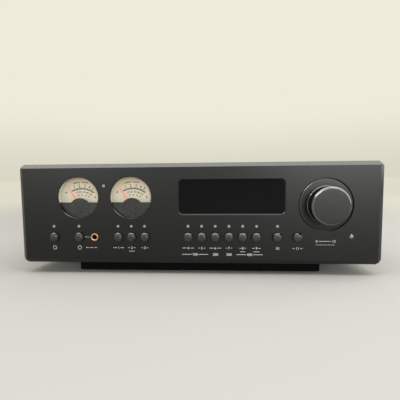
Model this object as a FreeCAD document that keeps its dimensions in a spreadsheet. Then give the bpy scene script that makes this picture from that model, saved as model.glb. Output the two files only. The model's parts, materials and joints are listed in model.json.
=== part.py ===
import FreeCAD, Part
import math
import os
import Sketcher

# A free-standing preamplifier in an aluminium case: two needle meters, a display window, a row of
# push buttons and a turning, pressing volume knob.
# Lengths are millimetres. X runs to the right, Y into the case from its front, Z up from the table.

DRIVING_SIZES = {
    # Case
    "case_width": 320.0,
    "case_height": 89.4,
    "case_depth": 340.0,
    "corner_chamfer": 4.3,
    "bevel_width": 3.5,
    "bevel_depth": 2.3,
    "panel_thickness": 10.0,
    "side_thickness": 8.0,
    "cover_thickness": 4.0,
    "bottom_thickness": 2.0,
    "rear_thickness": 3.0,
    "ledge_width": 6.0,
    "ledge_height": 4.0,
    "seam_clearance": 0.15,
    # Base
    "plinth_width": 222.0,
    "plinth_height": 8.6,
    "plinth_setback": 8.0,
    "plinth_wall": 1.5,
    "plinth_corner_radius": 4.0,
    "foot_height": 2.0,
    "foot_radius": 12.0,
    "foot_inset": 20.0,
    # Grid of the controls, heights above the underside of the case
    "grid_pitch": 12.0,
    "left_group_x": -130.0,
    "right_group_x": -7.0,
    "first_button_shift": 0.8,
    "last_button_shift": 0.7,
    "button_z": 23.7,
    "lens_z": 33.6,
    "window_z": 59.4,
    # Strip of buttons
    "strip_margin": 8.5,
    "strip_low_z": 14.5,
    "strip_high_z": 36.0,
    "strip_wall": 3.0,
    "button_radius": 4.3,
    "button_clearance": 0.3,
    "button_reach": 3.0,
    "button_dome": 1.9,
    "button_travel": 0.8,
    "button_flange": 0.9,
    "button_flange_thickness": 1.0,
    "stem_radius": 1.7,
    "stem_clearance": 0.1,
    "stem_engagement": 0.4,
    "stem_end_gap": 0.2,
    "switch_size": 6.0,
    "switch_height": 2.6,
    "switch_gap": 0.6,
    "board_thickness": 1.6,
    "board_clearance": 0.4,
    "boss_radius": 2.2,
    "boss_z": 29.0,
    # Lenses
    "lens_radius": 1.2,
    "lens_clearance": 0.05,
    "lens_reach": 0.15,
    "lens_gap": 0.2,
    "meter_lens_z": 69.8,
    "sensor_x": 133.7,
    "sensor_z": 24.6,
    "sensor_radius": 2.0,
    "sensor_reach": 1.1,
    # Headphone socket
    "jack_x": -91.8,
    "jack_bore_radius": 2.2,
    "jack_ring_radius": 3.4,
    "jack_ring_reach": 0.6,
    "jack_sleeve_radius": 2.9,
    "jack_sleeve_clearance": 0.1,
    "jack_sleeve_engagement": 2.0,
    "jack_body_width": 10.0,
    "jack_body_height": 9.0,
    "jack_body_depth": 16.0,
    "jack_bore_depth": 14.0,
    # Display
    "display_offset": 38.2,
    "display_width": 92.0,
    "display_height": 30.0,
    "display_corner_radius": 3.5,
    "display_lip": 1.0,
    "display_lip_width": 3.0,
    "display_edge_bevel": 0.8,
    "display_glass_thickness": 2.0,
    "glass_clearance": 0.2,
    # Meters
    "meter_window_radius": 18.4,
    "meter_lip": 1.2,
    "meter_edge_bevel": 0.5,
    "meter_bore_radius": 22.0,
    "meter_glass_thickness": 1.2,
    "meter_wall": 1.8,
    "meter_depth": 24.0,
    "meter_flange_radius": 23.4,
    "meter_flange_thickness": 2.0,
    "dial_setback": 8.5,
    "dial_thickness": 0.6,
    "dial_ledge": 1.5,
    "mask_setback": 3.8,
    "mask_thickness": 0.5,
    "mask_skirt": 1.0,
    "mask_drop": 4.6,
    "mask_hub_radius": 10.2,
    "pivot_drop": 10.9,
    "needle_setback": 7.5,
    "needle_thickness": 0.4,
    "needle_length": 22.3,
    "needle_tail": 5.0,
    "needle_root_width": 1.3,
    "needle_tip_width": 0.6,
    "needle_rest_angle": 32.0,
    "needle_hub_radius": 1.6,
    "needle_shaft_radius": 0.5,
    "needle_shaft_clearance": 0.05,
    "needle_shaft_length": 8.0,
    "needle_shaft_end_gap": 0.2,
    "dial_hole_radius": 1.2,
    "movement_radius": 7.2,
    "meter_board_margin": 3.0,
    # Volume knob
    "knob_x": 112.0,
    "knob_z": 52.3,
    "knob_radius": 16.0,
    "knob_reach": 13.5,
    "knob_bevel": 1.4,
    "knob_foot_gap": 0.8,
    "knob_foot_lip": 0.5,
    "knob_foot_height": 0.9,
    "knob_hollow_radius": 11.0,
    "knob_hollow_depth": 5.0,
    "knob_travel": 0.5,
    "surround_radius": 22.6,
    "surround_thickness": 2.5,
    "surround_bevel": 0.6,
    "surround_groove": 0.7,
    "knob_wall": 3.0,
    "encoder_pocket_radius": 14.0,
    "encoder_size": 16.0,
    "encoder_wall": 1.2,
    "bushing_radius": 4.5,
    "bushing_reach": 3.4,
    "bushing_clearance": 0.1,
    "nut_width": 14.0,
    "nut_height": 2.4,
    "shaft_radius": 3.0,
    "shaft_clearance": 0.05,
    "shaft_grip": 5.0,
    "shaft_flange": 1.4,
    "shaft_flange_thickness": 1.2,
    "plunger_thickness": 1.5,
    "plunger_end_gap": 0.2,
    # Sockets at the back
    "socket_high_z": 64.0,
    "socket_low_z": 30.0,
    "phono_distance": 32.0,
    "phono_pitch": 20.0,
    "phono_radius": 4.15,
    "phono_reach": 13.5,
    "phono_nut_radius": 6.2,
    "phono_nut_height": 2.5,
    "phono_bore_radius": 1.6,
    "phono_bore_depth": 9.0,
    "phono_body_depth": 12.0,
    "socket_clearance": 0.2,
    "balanced_inset": 20.0,
    "balanced_pitch": 34.0,
    "balanced_flange_width": 26.0,
    "balanced_flange_height": 31.0,
    "balanced_flange_thickness": 2.0,
    "balanced_flange_corner": 2.5,
    "balanced_body_radius": 11.6,
    "balanced_body_depth": 22.0,
    "balanced_cup_radius": 9.6,
    "balanced_cup_depth": 14.0,
    "balanced_pin_radius": 1.2,
    "balanced_pin_circle": 4.1,
    "balanced_pin_setback": 2.0,
    "balanced_insert_radius": 8.6,
    "link_distance": 20.0,
    "link_pitch": 19.0,
    "link_width": 15.6,
    "link_height": 13.4,
    "link_depth": 18.0,
    "link_mouth_width": 11.8,
    "link_mouth_height": 7.0,
    "link_mouth_depth": 13.0,
    "link_latch_width": 5.8,
    "link_latch_height": 2.2,
    "link_reach": 0.6,
    "mains_inset": 30.0,
    "mains_z": 34.0,
    "mains_flange_width": 48.0,
    "mains_flange_height": 24.0,
    "mains_flange_thickness": 2.5,
    "mains_flange_corner": 5.0,
    "mains_body_width": 28.0,
    "mains_body_height": 20.5,
    "mains_body_depth": 24.0,
    "mains_mouth_width": 25.0,
    "mains_mouth_height": 17.0,
    "mains_mouth_depth": 18.0,
    "mains_mouth_corner": 4.5,
    "mains_blade_width": 2.0,
    "mains_blade_height": 4.0,
    "mains_blade_spacing": 7.0,
    "mains_blade_offset": 2.0,
    "mains_blade_setback": 3.0,
    # Inside
    "bracket_leg": 16.0,
    "bracket_thickness": 3.0,
    "bracket_height": 50.0,
    "spacer_height": 8.0,
    "spacer_radius": 3.0,
    "spacer_inset": 8.0,
    "board_wall_gap": 2.0,
    "main_board_screen_gap": 17.0,
    "main_board_back_gap": 39.0,
    "main_board_depth": 200.0,
    "power_board_front_gap": 36.0,
    "power_board_depth": 100.0,
    "capacitor_radius": 11.0,
    "capacitor_height": 34.0,
    "capacitor_pitch": 30.0,
    "transformer_wall_gap": 6.0,
    "transformer_board_gap": 16.0,
    "transformer_radius": 44.0,
    "transformer_hole_radius": 14.0,
    "transformer_height": 42.0,
    "transformer_rounding": 9.0,
    "clamp_radius": 30.0,
    "clamp_thickness": 2.0,
    "clamp_bolt_radius": 3.0,
    "clamp_bolt_clearance": 0.3,
    "clamp_head_radius": 5.5,
    "clamp_head_height": 4.0,
    "screen_gap": 8.5,
    "screen_thickness": 1.5,
    "screen_foot": 12.0,
    "screen_inset": 30.0,
    "screen_headroom": 6.0,
    # Vents
    "vent_width": 3.0,
    "vent_length": 30.0,
    "vent_pitch": 8.0,
    "vent_inset": 30.0,
    # Screws
    "screw_radius": 1.5,
    "screw_clearance": 0.1,
    "screw_grip": 6.0,
    "screw_end_gap": 0.5,
    "screw_head_radius": 2.9,
    "screw_head_height": 1.7,
    "screw_wall_gap": 0.3,
    "screw_inset": 14.0,
    "cover_screw_grip": 2.6,
    "bracket_screw_inset": 6.0,
    "bracket_screw_pitch": 16.0,
    "post_radius": 4.0,
    "post_inset": 50.0,
}

LEFT_BUTTON_COLUMNS = (0, 2, 5, 6, 7)
RIGHT_BUTTON_COLUMNS = (0, 1, 2, 3, 4, 5, 6.5, 8)
METER_COLUMNS = (2, 6)
METER_LENS_COLUMN = 4
BOSS_COLUMNS_LEFT = (1,)
BOSS_COLUMNS_RIGHT = (-1.6, 7.25, 10.25)
VENT_COUNT = 12
PHONO_COLUMNS = 5
LEFT, RIGHT = -1, 1

UPRIGHT = FreeCAD.Rotation()
ALONG_X = FreeCAD.Rotation(FreeCAD.Vector(0, 1, 0), 90)
ALONG_Y = FreeCAD.Rotation(FreeCAD.Vector(1, 0, 0), -90)
LEANING_LEFT = FreeCAD.Rotation(FreeCAD.Vector(0, -1, 0), 1)

doc = FreeCAD.newDocument("Preamplifier")
sheet = doc.addObject("Spreadsheet::Sheet", "Sizes")
nodes = []


class Size:
    """A length with its value and the sheet formula that gives it."""

    def __init__(self, value, formula):
        self.value = value
        self.formula = formula

    def __add__(self, other):
        other = as_size(other)
        return Size(self.value + other.value, f"({self.formula} + {other.formula})")

    def __sub__(self, other):
        other = as_size(other)
        return Size(self.value - other.value, f"({self.formula} - {other.formula})")

    def __mul__(self, other):
        other = as_size(other)
        return Size(self.value * other.value, f"({self.formula} * {other.formula})")

    def __truediv__(self, other):
        other = as_size(other)
        return Size(self.value / other.value, f"({self.formula} / {other.formula})")

    def __neg__(self):
        return Size(-self.value, f"(-1 * {self.formula})")

    __radd__ = __add__
    __rmul__ = __mul__

    def __rsub__(self, other):
        return as_size(other) - self


def as_size(number):
    """A Size as it is, and a plain number as a Size of its own."""
    return number if isinstance(number, Size) else Size(float(number), f"{float(number):.6f}")


class Sizes:
    """Gives each driving size of the sheet by its name."""

    def __getattr__(self, name):
        return Size(DRIVING_SIZES[name], f"Sizes.{name}")


def fill_sheet():
    """Put each driving size in a row of the sheet, with its name as the cell's alias."""
    for row, (name, value) in enumerate(DRIVING_SIZES.items(), start=1):
        sheet.set(f"A{row}", name)
        sheet.set(f"B{row}", str(value))
        sheet.setAlias(f"B{row}", name)
    doc.recompute()


def bind(thing, name, size):
    """Tie one property of an object to a formula of the sheet."""
    thing.setExpression(name, as_size(size).formula)


def place(thing, x=0, y=0, z=0, turn=UPRIGHT):
    """Set an object's turn, and tie its place to the sheet."""
    thing.Placement = FreeCAD.Placement(FreeCAD.Vector(), turn)
    bind(thing, "Placement.Base.x", x)
    bind(thing, "Placement.Base.y", y)
    bind(thing, "Placement.Base.z", z)


def keep(thing):
    """Count an object as one node of the assembly."""
    nodes.append(thing)
    return thing


def make(kind, name):
    """A new object of the document, labelled with its name."""
    thing = doc.addObject(kind, name)
    thing.Label = name
    return thing


def block(name, x, y, z):
    """A box between the two values given for each of x, y and z."""
    box = make("Part::Box", name)
    bind(box, "Length", x[1] - x[0])
    bind(box, "Width", y[1] - y[0])
    bind(box, "Height", z[1] - z[0])
    place(box, x[0], y[0], z[0])
    return box


def rounded_plate(name, x, y, z, radius):
    """A plate between the two values given for each of x, y and z, with its four corners rounded."""
    body = new_body(name)
    outline = new_sketch(body, "XZ_Plane", y[0])
    draw_rectangle(outline, x, z)
    plate = pad(body, outline, y[1] - y[0], reverse=True)
    fillet(body, plate, is_along_y, radius)
    return body


def is_along_y(edge):
    """Whether an edge runs straight from front to back."""
    box = edge.BoundBox
    return box.XLength < 0.001 and box.ZLength < 0.001


def rod(name, radius, length, x, y, z, turn=ALONG_Y):
    """A cylinder that starts at x, y, z and runs along Y, or up where it is upright."""
    cylinder = make("Part::Cylinder", name)
    bind(cylinder, "Radius", radius)
    bind(cylinder, "Height", length)
    place(cylinder, x, y, z, turn)
    return cylinder


def cut(name, base, tools):
    """The base with the tools taken out of it."""
    result = make("Part::Cut", name)
    result.Base = base
    result.Tool = tools[0] if len(tools) == 1 else fuse(f"{name}_tools", tools)
    return result


def fuse(name, shapes):
    """Several shapes as one solid."""
    result = make("Part::MultiFuse", name)
    result.Shapes = shapes
    return result


def group(name, members):
    """Several separate solids under one name."""
    result = make("Part::Compound", name)
    result.Links = members
    return result


def new_body(name, x=0, y=0, z=0, turn=UPRIGHT):
    """An empty body at a place."""
    body = make("PartDesign::Body", name)
    place(body, x, y, z, turn)
    return body


def new_sketch(body, role, offset=None):
    """A sketch on one of the body's own planes, moved along +X, +Y or +Z by the offset."""
    plane = next(item for item in body.Origin.OriginFeatures if item.Role == role)
    sketch = body.newObject("Sketcher::SketchObject", f"{body.Name}_sketch")
    sketch.AttachmentSupport = (plane, "")
    sketch.MapMode = "FlatFace"
    if offset is not None:
        offset = -offset if role == "XZ_Plane" else offset
        bind(sketch, "AttachmentOffset.Base.z", offset)
    return sketch


def hold(sketch, kind, piece, point, size):
    """Add one dimension of a point to a sketch, tied to the sheet."""
    index = sketch.addConstraint(Sketcher.Constraint(kind, piece, point, size.value))
    sketch.setExpression(f"Constraints[{index}]", size.formula)


def draw_outline(sketch, corners, dome=None):
    """A closed outline whose corners are held by their two coordinates.

    The side that starts at the corner numbered dome is an arc with its centre on the sketch's
    horizontal axis, and the other sides are straight.
    """
    corners = [(as_size(across), as_size(up)) for across, up in corners]
    points = [FreeCAD.Vector(across.value, up.value, 0) for across, up in corners]
    first = sketch.GeometryCount
    count = len(points)
    for index in range(count):
        start, end = points[index], points[(index + 1) % count]
        side = dome_arc(start, end) if index == dome else Part.LineSegment(start, end)
        sketch.addGeometry(side, False)
    for index in range(count):
        following = first + (index + 1) % count
        sketch.addConstraint(Sketcher.Constraint("Coincident", first + index, 2, following, 1))
    for index, (across, up) in enumerate(corners):
        hold(sketch, "DistanceX", first + index, 1, across)
        hold(sketch, "DistanceY", first + index, 1, up)
    if dome is not None:
        hold(sketch, "DistanceY", first + dome, 3, as_size(0))


def dome_arc(rim, tip):
    """The arc from a rim to a tip on the horizontal axis, with its centre on that axis."""
    height = rim.x - tip.x
    radius = (rim.y**2 + height**2) / (2 * height)
    centre = FreeCAD.Vector(tip.x + radius, 0, 0)
    start_angle = math.atan2(rim.y, rim.x - centre.x)
    return Part.ArcOfCircle(Part.Circle(centre, FreeCAD.Vector(0, 0, 1), radius), start_angle, math.pi)


def draw_circle(sketch, across, up, radius):
    """A circle held by its centre and radius."""
    across, up, radius = as_size(across), as_size(up), as_size(radius)
    centre = FreeCAD.Vector(across.value, up.value, 0)
    piece = sketch.addGeometry(Part.Circle(centre, FreeCAD.Vector(0, 0, 1), radius.value), False)
    hold(sketch, "DistanceX", piece, 3, across)
    hold(sketch, "DistanceY", piece, 3, up)
    index = sketch.addConstraint(Sketcher.Constraint("Radius", piece, radius.value))
    sketch.setExpression(f"Constraints[{index}]", radius.formula)


def draw_rectangle(sketch, across, up):
    """A rectangle between the two values given for each direction of the sketch."""
    corners = [(across[0], up[0]), (across[1], up[0]), (across[1], up[1]), (across[0], up[1])]
    draw_outline(sketch, corners)


def pad(body, sketch, length, reverse=False):
    """Raise a sketch along its normal, which on the XZ plane points at the viewer."""
    feature = body.newObject("PartDesign::Pad", f"{body.Name}_pad")
    feature.Profile = sketch
    feature.Reversed = reverse
    bind(feature, "Length", length)
    return feature


def pocket(body, sketch, length, reverse=False):
    """Cut a sketch against its normal, which on the XZ plane is into the case."""
    feature = body.newObject("PartDesign::Pocket", f"{body.Name}_pocket")
    feature.Profile = sketch
    feature.Reversed = reverse
    bind(feature, "Length", length)
    return feature


def edge_names(feature, wanted):
    """The names of a feature's edges that pass a test."""
    doc.recompute()
    edges = enumerate(feature.Shape.Edges, start=1)
    return [f"Edge{number}" for number, edge in edges if wanted(edge)]


def chamfer(body, feature, wanted, size):
    """Break the wanted edges at 45 degrees."""
    result = body.newObject("PartDesign::Chamfer", f"{body.Name}_chamfer")
    result.Base = (feature, edge_names(feature, wanted))
    bind(result, "Size", size)
    return result


def fillet(body, feature, wanted, radius):
    """Round the wanted edges."""
    result = body.newObject("PartDesign::Fillet", f"{body.Name}_fillet")
    result.Base = (feature, edge_names(feature, wanted))
    bind(result, "Radius", radius)
    return result


def turned(name, corners, x, y, z, dome=None):
    """A turned piece: an outline of depth along Y and radius, spun about the line through x and z."""
    body = new_body(name, x, y, z)
    sketch = new_sketch(body, "YZ_Plane")
    draw_outline(sketch, corners, dome)
    feature = body.newObject("PartDesign::Revolution", f"{name}_turning")
    feature.Profile = sketch
    feature.ReferenceAxis = (sketch, ["H_Axis"])
    feature.Angle = 360
    return body


def near(value, size):
    """Whether a coordinate is where a size puts it."""
    return abs(value - size.value) < 0.001


size = Sizes()
fill_sheet()

half_width = size.case_width / 2
front = -size.case_depth / 2
back = size.case_depth / 2
panel_back = front + size.panel_thickness
rear_inside = back - size.rear_thickness
inner_x = half_width - size.side_thickness
underside = size.foot_height + size.plinth_height
floor = underside + size.bottom_thickness
top = underside + size.case_height
ceiling = top - size.cover_thickness
ledge_x = inner_x - size.ledge_width

button_z = underside + size.button_z
lens_z = underside + size.lens_z
window_z = underside + size.window_z
knob_z = underside + size.knob_z
strip_low = underside + size.strip_low_z
strip_high = underside + size.strip_high_z

button_x = [size.left_group_x + size.grid_pitch * column for column in LEFT_BUTTON_COLUMNS]
button_x += [size.right_group_x + size.grid_pitch * column for column in RIGHT_BUTTON_COLUMNS]
button_x[0] = button_x[0] + size.first_button_shift
button_x[-1] = button_x[-1] - size.last_button_shift
lens_x = button_x[:-1]
meter_x = [size.left_group_x + size.grid_pitch * column for column in METER_COLUMNS]
meter_lens_x = size.left_group_x + size.grid_pitch * METER_LENS_COLUMN
display_x = size.right_group_x + size.display_offset
boss_x = [size.left_group_x + size.grid_pitch * column for column in BOSS_COLUMNS_LEFT]
boss_x += [size.right_group_x + size.grid_pitch * column for column in BOSS_COLUMNS_RIGHT]

switch_front = size.strip_wall + size.button_flange_thickness + size.button_travel + size.switch_gap
board_front = switch_front + size.switch_height
lens_hole_radius = size.lens_radius + size.lens_clearance
meter_glass_back = size.meter_lip + size.meter_glass_thickness
meter_outer_radius = size.meter_bore_radius - size.glass_clearance
meter_inner_radius = meter_outer_radius - size.meter_wall
dial_radius = meter_inner_radius - size.glass_clearance
dial_back = size.dial_setback + size.dial_thickness
pivot_z = window_z - size.pivot_drop
surround_back = size.surround_thickness
encoder_front = surround_back + size.knob_wall
bushing_hole_radius = size.bushing_radius + size.bushing_clearance
jack_hole_radius = size.jack_sleeve_radius + size.jack_sleeve_clearance
display_half = (size.display_width / 2, size.display_height / 2)
display_glass_back = size.display_lip + size.display_glass_thickness
strip_x = (button_x[0] - size.strip_margin, size.sensor_x + size.strip_margin)

socket_low = underside + size.socket_low_z
socket_high = underside + size.socket_high_z
mains_z = underside + size.mains_z
mains_x = inner_x - size.mains_inset
balanced_x = [size.balanced_pitch * column - inner_x + size.balanced_inset for column in range(2)]
phono_first_x = balanced_x[-1] + size.phono_distance
phono_x = [phono_first_x + size.phono_pitch * column for column in range(PHONO_COLUMNS)]
link_x = [phono_x[-1] + size.link_distance + size.link_pitch * column for column in range(2)]

transformer_x = ledge_x - size.transformer_wall_gap - size.transformer_radius
power_board_back = panel_back + size.power_board_front_gap + size.power_board_depth
transformer_y = power_board_back + size.transformer_board_gap + size.transformer_radius
screen_right = transformer_x - size.transformer_radius - size.screen_gap
screen_left = screen_right - size.screen_thickness

screw_hole_radius = size.screw_radius + size.screw_clearance
screw_hole_depth = size.screw_grip + size.screw_end_gap
rear_screw_x = half_width - size.side_thickness / 2
rear_screw_z = [underside + size.screw_inset, (underside + top) / 2, top - size.screw_inset]
ledge_screw_x = inner_x - size.screw_head_radius - size.screw_wall_gap
ledge_screw_y = [panel_back + size.screw_inset, (panel_back + rear_inside) / 2]
ledge_screw_y.append(rear_inside - size.screw_inset)
bracket_top = (floor + ceiling + size.bracket_height) / 2
bracket_screw_z = [bracket_top - size.bracket_screw_inset]
bracket_screw_z.append(bracket_screw_z[0] - size.bracket_screw_pitch)
bracket_leg_screw_x = inner_x - size.bracket_leg / 2
bracket_wall_screw_y = panel_back + (size.bracket_leg + size.bracket_thickness) / 2
foot_x = size.plinth_width / 2 - size.foot_inset
foot_y = back - size.plinth_setback - size.foot_inset
post_y = back - size.plinth_setback - size.post_inset


def depth(amount):
    """The Y of a plane that lies an amount behind the front face."""
    return front + amount


def corner_triangles(sketch):
    """The four corners that the long chamfers take off the outline of the case."""
    leg = size.corner_chamfer
    for side in (LEFT, RIGHT):
        x = half_width * side
        for z, inwards in ((underside, 1), (top, -1)):
            draw_outline(sketch, [(x, z), (x - leg * side, z), (x, z + leg * inwards)])


def front_panel():
    """The milled front plate: bevelled all round, with its windows, knob seat and strip of holes."""
    body = new_body("front_panel")
    outline = new_sketch(body, "XZ_Plane", depth(size.bevel_depth))
    draw_rectangle(outline, (-half_width, half_width), (underside, top))
    pad(body, outline, size.panel_thickness - size.bevel_depth, reverse=True)
    bevel_outline = new_sketch(body, "XZ_Plane", depth(size.bevel_depth))
    draw_rectangle(bevel_outline, (-half_width, half_width), (underside, top))
    bevel = pad(body, bevel_outline, size.bevel_depth)
    bevel.setExpression("TaperAngle", "-atan(Sizes.bevel_width / Sizes.bevel_depth)")
    corners = new_sketch(body, "XZ_Plane", front)
    corner_triangles(corners)
    pocket(body, corners, size.panel_thickness)

    windows = new_sketch(body, "XZ_Plane", front)
    for x in meter_x:
        draw_circle(windows, x, window_z, size.meter_window_radius)
    pocket(body, windows, size.panel_thickness)
    bores = new_sketch(body, "XZ_Plane", depth(size.meter_lip))
    for x in meter_x:
        draw_circle(bores, x, window_z, size.meter_bore_radius)
    cut_bores = pocket(body, bores, size.panel_thickness)
    chamfer(body, cut_bores, is_meter_window_edge, size.meter_edge_bevel)

    across, up = display_half
    opening = new_sketch(body, "XZ_Plane", front)
    draw_rectangle(opening, (display_x - across, display_x + across), (window_z - up, window_z + up))
    cut_opening = pocket(body, opening, size.panel_thickness)
    rounded = fillet(body, cut_opening, is_display_corner, size.display_corner_radius)
    chamfer(body, rounded, is_display_edge, size.display_edge_bevel)
    seat = new_sketch(body, "XZ_Plane", depth(size.display_lip))
    across = across + size.display_lip_width
    up = up + size.display_lip_width
    draw_rectangle(seat, (display_x - across, display_x + across), (window_z - up, window_z + up))
    pocket(body, seat, size.panel_thickness)

    knob_seat = new_sketch(body, "XZ_Plane", front)
    draw_circle(knob_seat, size.knob_x, knob_z, size.surround_radius + size.surround_groove)
    pocket(body, knob_seat, size.surround_thickness)
    bushing_hole = new_sketch(body, "XZ_Plane", front)
    draw_circle(bushing_hole, size.knob_x, knob_z, bushing_hole_radius)
    pocket(body, bushing_hole, size.panel_thickness)
    encoder_pocket = new_sketch(body, "XZ_Plane", depth(encoder_front))
    draw_circle(encoder_pocket, size.knob_x, knob_z, size.encoder_pocket_radius)
    pocket(body, encoder_pocket, size.panel_thickness)

    board_bay = new_sketch(body, "XZ_Plane", depth(board_front))
    draw_rectangle(board_bay, strip_x, (strip_low, strip_high))
    pocket(body, board_bay, size.panel_thickness)
    strip = new_sketch(body, "XZ_Plane", depth(size.strip_wall))
    draw_rectangle(strip, strip_x, (strip_low, strip_high))
    for x in boss_x:
        draw_circle(strip, x, underside + size.boss_z, size.boss_radius)
    pocket(body, strip, size.panel_thickness)
    holes = new_sketch(body, "XZ_Plane", front)
    for x in button_x:
        draw_circle(holes, x, button_z, size.button_radius + size.button_clearance)
    for x in lens_x:
        draw_circle(holes, x, lens_z, lens_hole_radius)
    draw_circle(holes, meter_lens_x, underside + size.meter_lens_z, lens_hole_radius)
    draw_circle(holes, size.sensor_x, underside + size.sensor_z, size.sensor_radius + size.lens_clearance)
    draw_circle(holes, size.jack_x, button_z, jack_hole_radius)
    pocket(body, holes, size.panel_thickness)
    screw_holes = new_sketch(body, "XZ_Plane", panel_back)
    for side in (LEFT, RIGHT):
        for z in bracket_screw_z:
            draw_circle(screw_holes, bracket_leg_screw_x * side, z, screw_hole_radius)
    pocket(body, screw_holes, screw_hole_depth, reverse=True)
    return keep(body)


def is_meter_window_edge(edge):
    """Whether an edge is the front rim of a meter window."""
    if not isinstance(edge.Curve, Part.Circle):
        return False
    return near(edge.Curve.Radius, size.meter_window_radius) and near(edge.Curve.Center.y, front)


def is_display_corner(edge):
    """Whether an edge is one of the four inner corners of the display opening."""
    ends = [vertex.Point for vertex in edge.Vertexes]
    if len(ends) != 2 or abs(ends[0].y - ends[1].y) < size.display_lip.value:
        return False
    across, up = display_half
    middle = (ends[0] + ends[1]) / 2
    return near(abs(middle.x - display_x.value), across) and near(abs(middle.z - window_z.value), up)


def is_display_edge(edge):
    """Whether an edge belongs to the front rim of the display opening."""
    box = edge.BoundBox
    across, up = display_half
    inside_x = abs(box.Center.x - display_x.value) < across.value + size.display_edge_bevel.value
    inside_z = abs(box.Center.z - window_z.value) < up.value + size.display_edge_bevel.value
    return near(box.YMin, front) and near(box.YMax, front) and inside_x and inside_z


def side_panel(name, side):
    """A side wall of one profile along the case, with a ledge under the cover and one over the floor."""
    body = new_body(name)
    outer = half_width * side
    inner = inner_x * side
    ledge = ledge_x * side
    leg = size.corner_chamfer
    profile = new_sketch(body, "XZ_Plane", panel_back)
    draw_outline(profile, [
        (outer, underside + leg),
        (outer, top - leg),
        (outer - leg * side, top),
        (inner, top),
        (inner, ceiling),
        (ledge, ceiling),
        (ledge, ceiling - size.ledge_height),
        (inner, ceiling - size.ledge_height),
        (inner, floor + size.ledge_height),
        (ledge, floor + size.ledge_height),
        (ledge, floor),
        (inner, floor),
        (inner, underside),
        (outer - leg * side, underside),
    ])
    pad(body, profile, rear_inside - panel_back, reverse=True)
    rear_holes = new_sketch(body, "XZ_Plane", rear_inside)
    for z in rear_screw_z:
        draw_circle(rear_holes, rear_screw_x * side, z, screw_hole_radius)
    pocket(body, rear_holes, screw_hole_depth, reverse=True)
    for ledge_low in (floor, ceiling - size.ledge_height):
        ledge_holes = new_sketch(body, "XY_Plane", ledge_low)
        for y in ledge_screw_y:
            draw_circle(ledge_holes, ledge_screw_x * side, y, screw_hole_radius)
        pocket(body, ledge_holes, size.ledge_height, reverse=True)
    wall_holes = new_sketch(body, "YZ_Plane", inner)
    for z in bracket_screw_z:
        draw_circle(wall_holes, bracket_wall_screw_y, z, screw_hole_radius)
    pocket(body, wall_holes, screw_hole_depth, reverse=side == RIGHT)
    return keep(body)


def top_cover():
    """The cover plate on the ledges of the side walls, with a row of vents on each side at the back."""
    body = new_body("top_cover")
    across = inner_x - size.seam_clearance
    outline = new_sketch(body, "XY_Plane", ceiling)
    draw_rectangle(outline, (-across, across), (panel_back, rear_inside - size.seam_clearance))
    pad(body, outline, size.cover_thickness)
    row = new_sketch(body, "XY_Plane", top)
    vent_back = rear_inside - size.vent_inset
    for side in (LEFT, RIGHT):
        x = transformer_x * side - size.vent_pitch * (VENT_COUNT - 1) / 2
        draw_rectangle(row, (x, x + size.vent_width), (vent_back - size.vent_length, vent_back))
    slots = pocket(body, row, size.cover_thickness)
    repeat(body, slots, row, "H_Axis")
    holes = new_sketch(body, "XY_Plane", ceiling)
    for side in (LEFT, RIGHT):
        for y in ledge_screw_y:
            draw_circle(holes, ledge_screw_x * side, y, screw_hole_radius)
    pocket(body, holes, size.cover_screw_grip + size.screw_end_gap, reverse=True)
    return keep(body)


def repeat(body, slots, row, axis):
    """A straight row of the same slots."""
    pattern = body.newObject("PartDesign::LinearPattern", f"{body.Name}_vents")
    pattern.Originals = [slots]
    pattern.Direction = (row, [axis])
    bind(pattern, "Length", size.vent_pitch * (VENT_COUNT - 1))
    pattern.Occurrences = VENT_COUNT
    body.Tip = pattern
    return pattern


def bottom_plate():
    """The floor of the case, with vents beside the plinth and the holes of its bolt and screws."""
    body = new_body("bottom_plate")
    across = inner_x - size.seam_clearance
    outline = new_sketch(body, "XY_Plane", underside)
    draw_rectangle(outline, (-across, across), (panel_back, rear_inside - size.seam_clearance))
    pad(body, outline, size.bottom_thickness)
    holes = new_sketch(body, "XY_Plane", underside)
    bolt_hole_radius = size.clamp_bolt_radius + size.clamp_bolt_clearance
    draw_circle(holes, transformer_x, transformer_y, bolt_hole_radius)
    for side in (LEFT, RIGHT):
        for y in ledge_screw_y:
            draw_circle(holes, ledge_screw_x * side, y, screw_hole_radius)
        for end in (LEFT, RIGHT):
            draw_circle(holes, foot_x * side, post_y * end, screw_hole_radius)
    pocket(body, holes, size.bottom_thickness, reverse=True)
    row = new_sketch(body, "XY_Plane", underside)
    strip_middle = (size.plinth_width / 2 + ledge_x) / 2
    half_vent = size.vent_length / 2
    y = rear_inside - size.vent_inset - size.vent_pitch * (VENT_COUNT - 1)
    for side in (LEFT, RIGHT):
        middle = strip_middle * side
        draw_rectangle(row, (middle - half_vent, middle + half_vent), (y - size.vent_width, y))
    slots = pocket(body, row, size.bottom_thickness, reverse=True)
    repeat(body, slots, row, "V_Axis")
    return keep(body)


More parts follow.
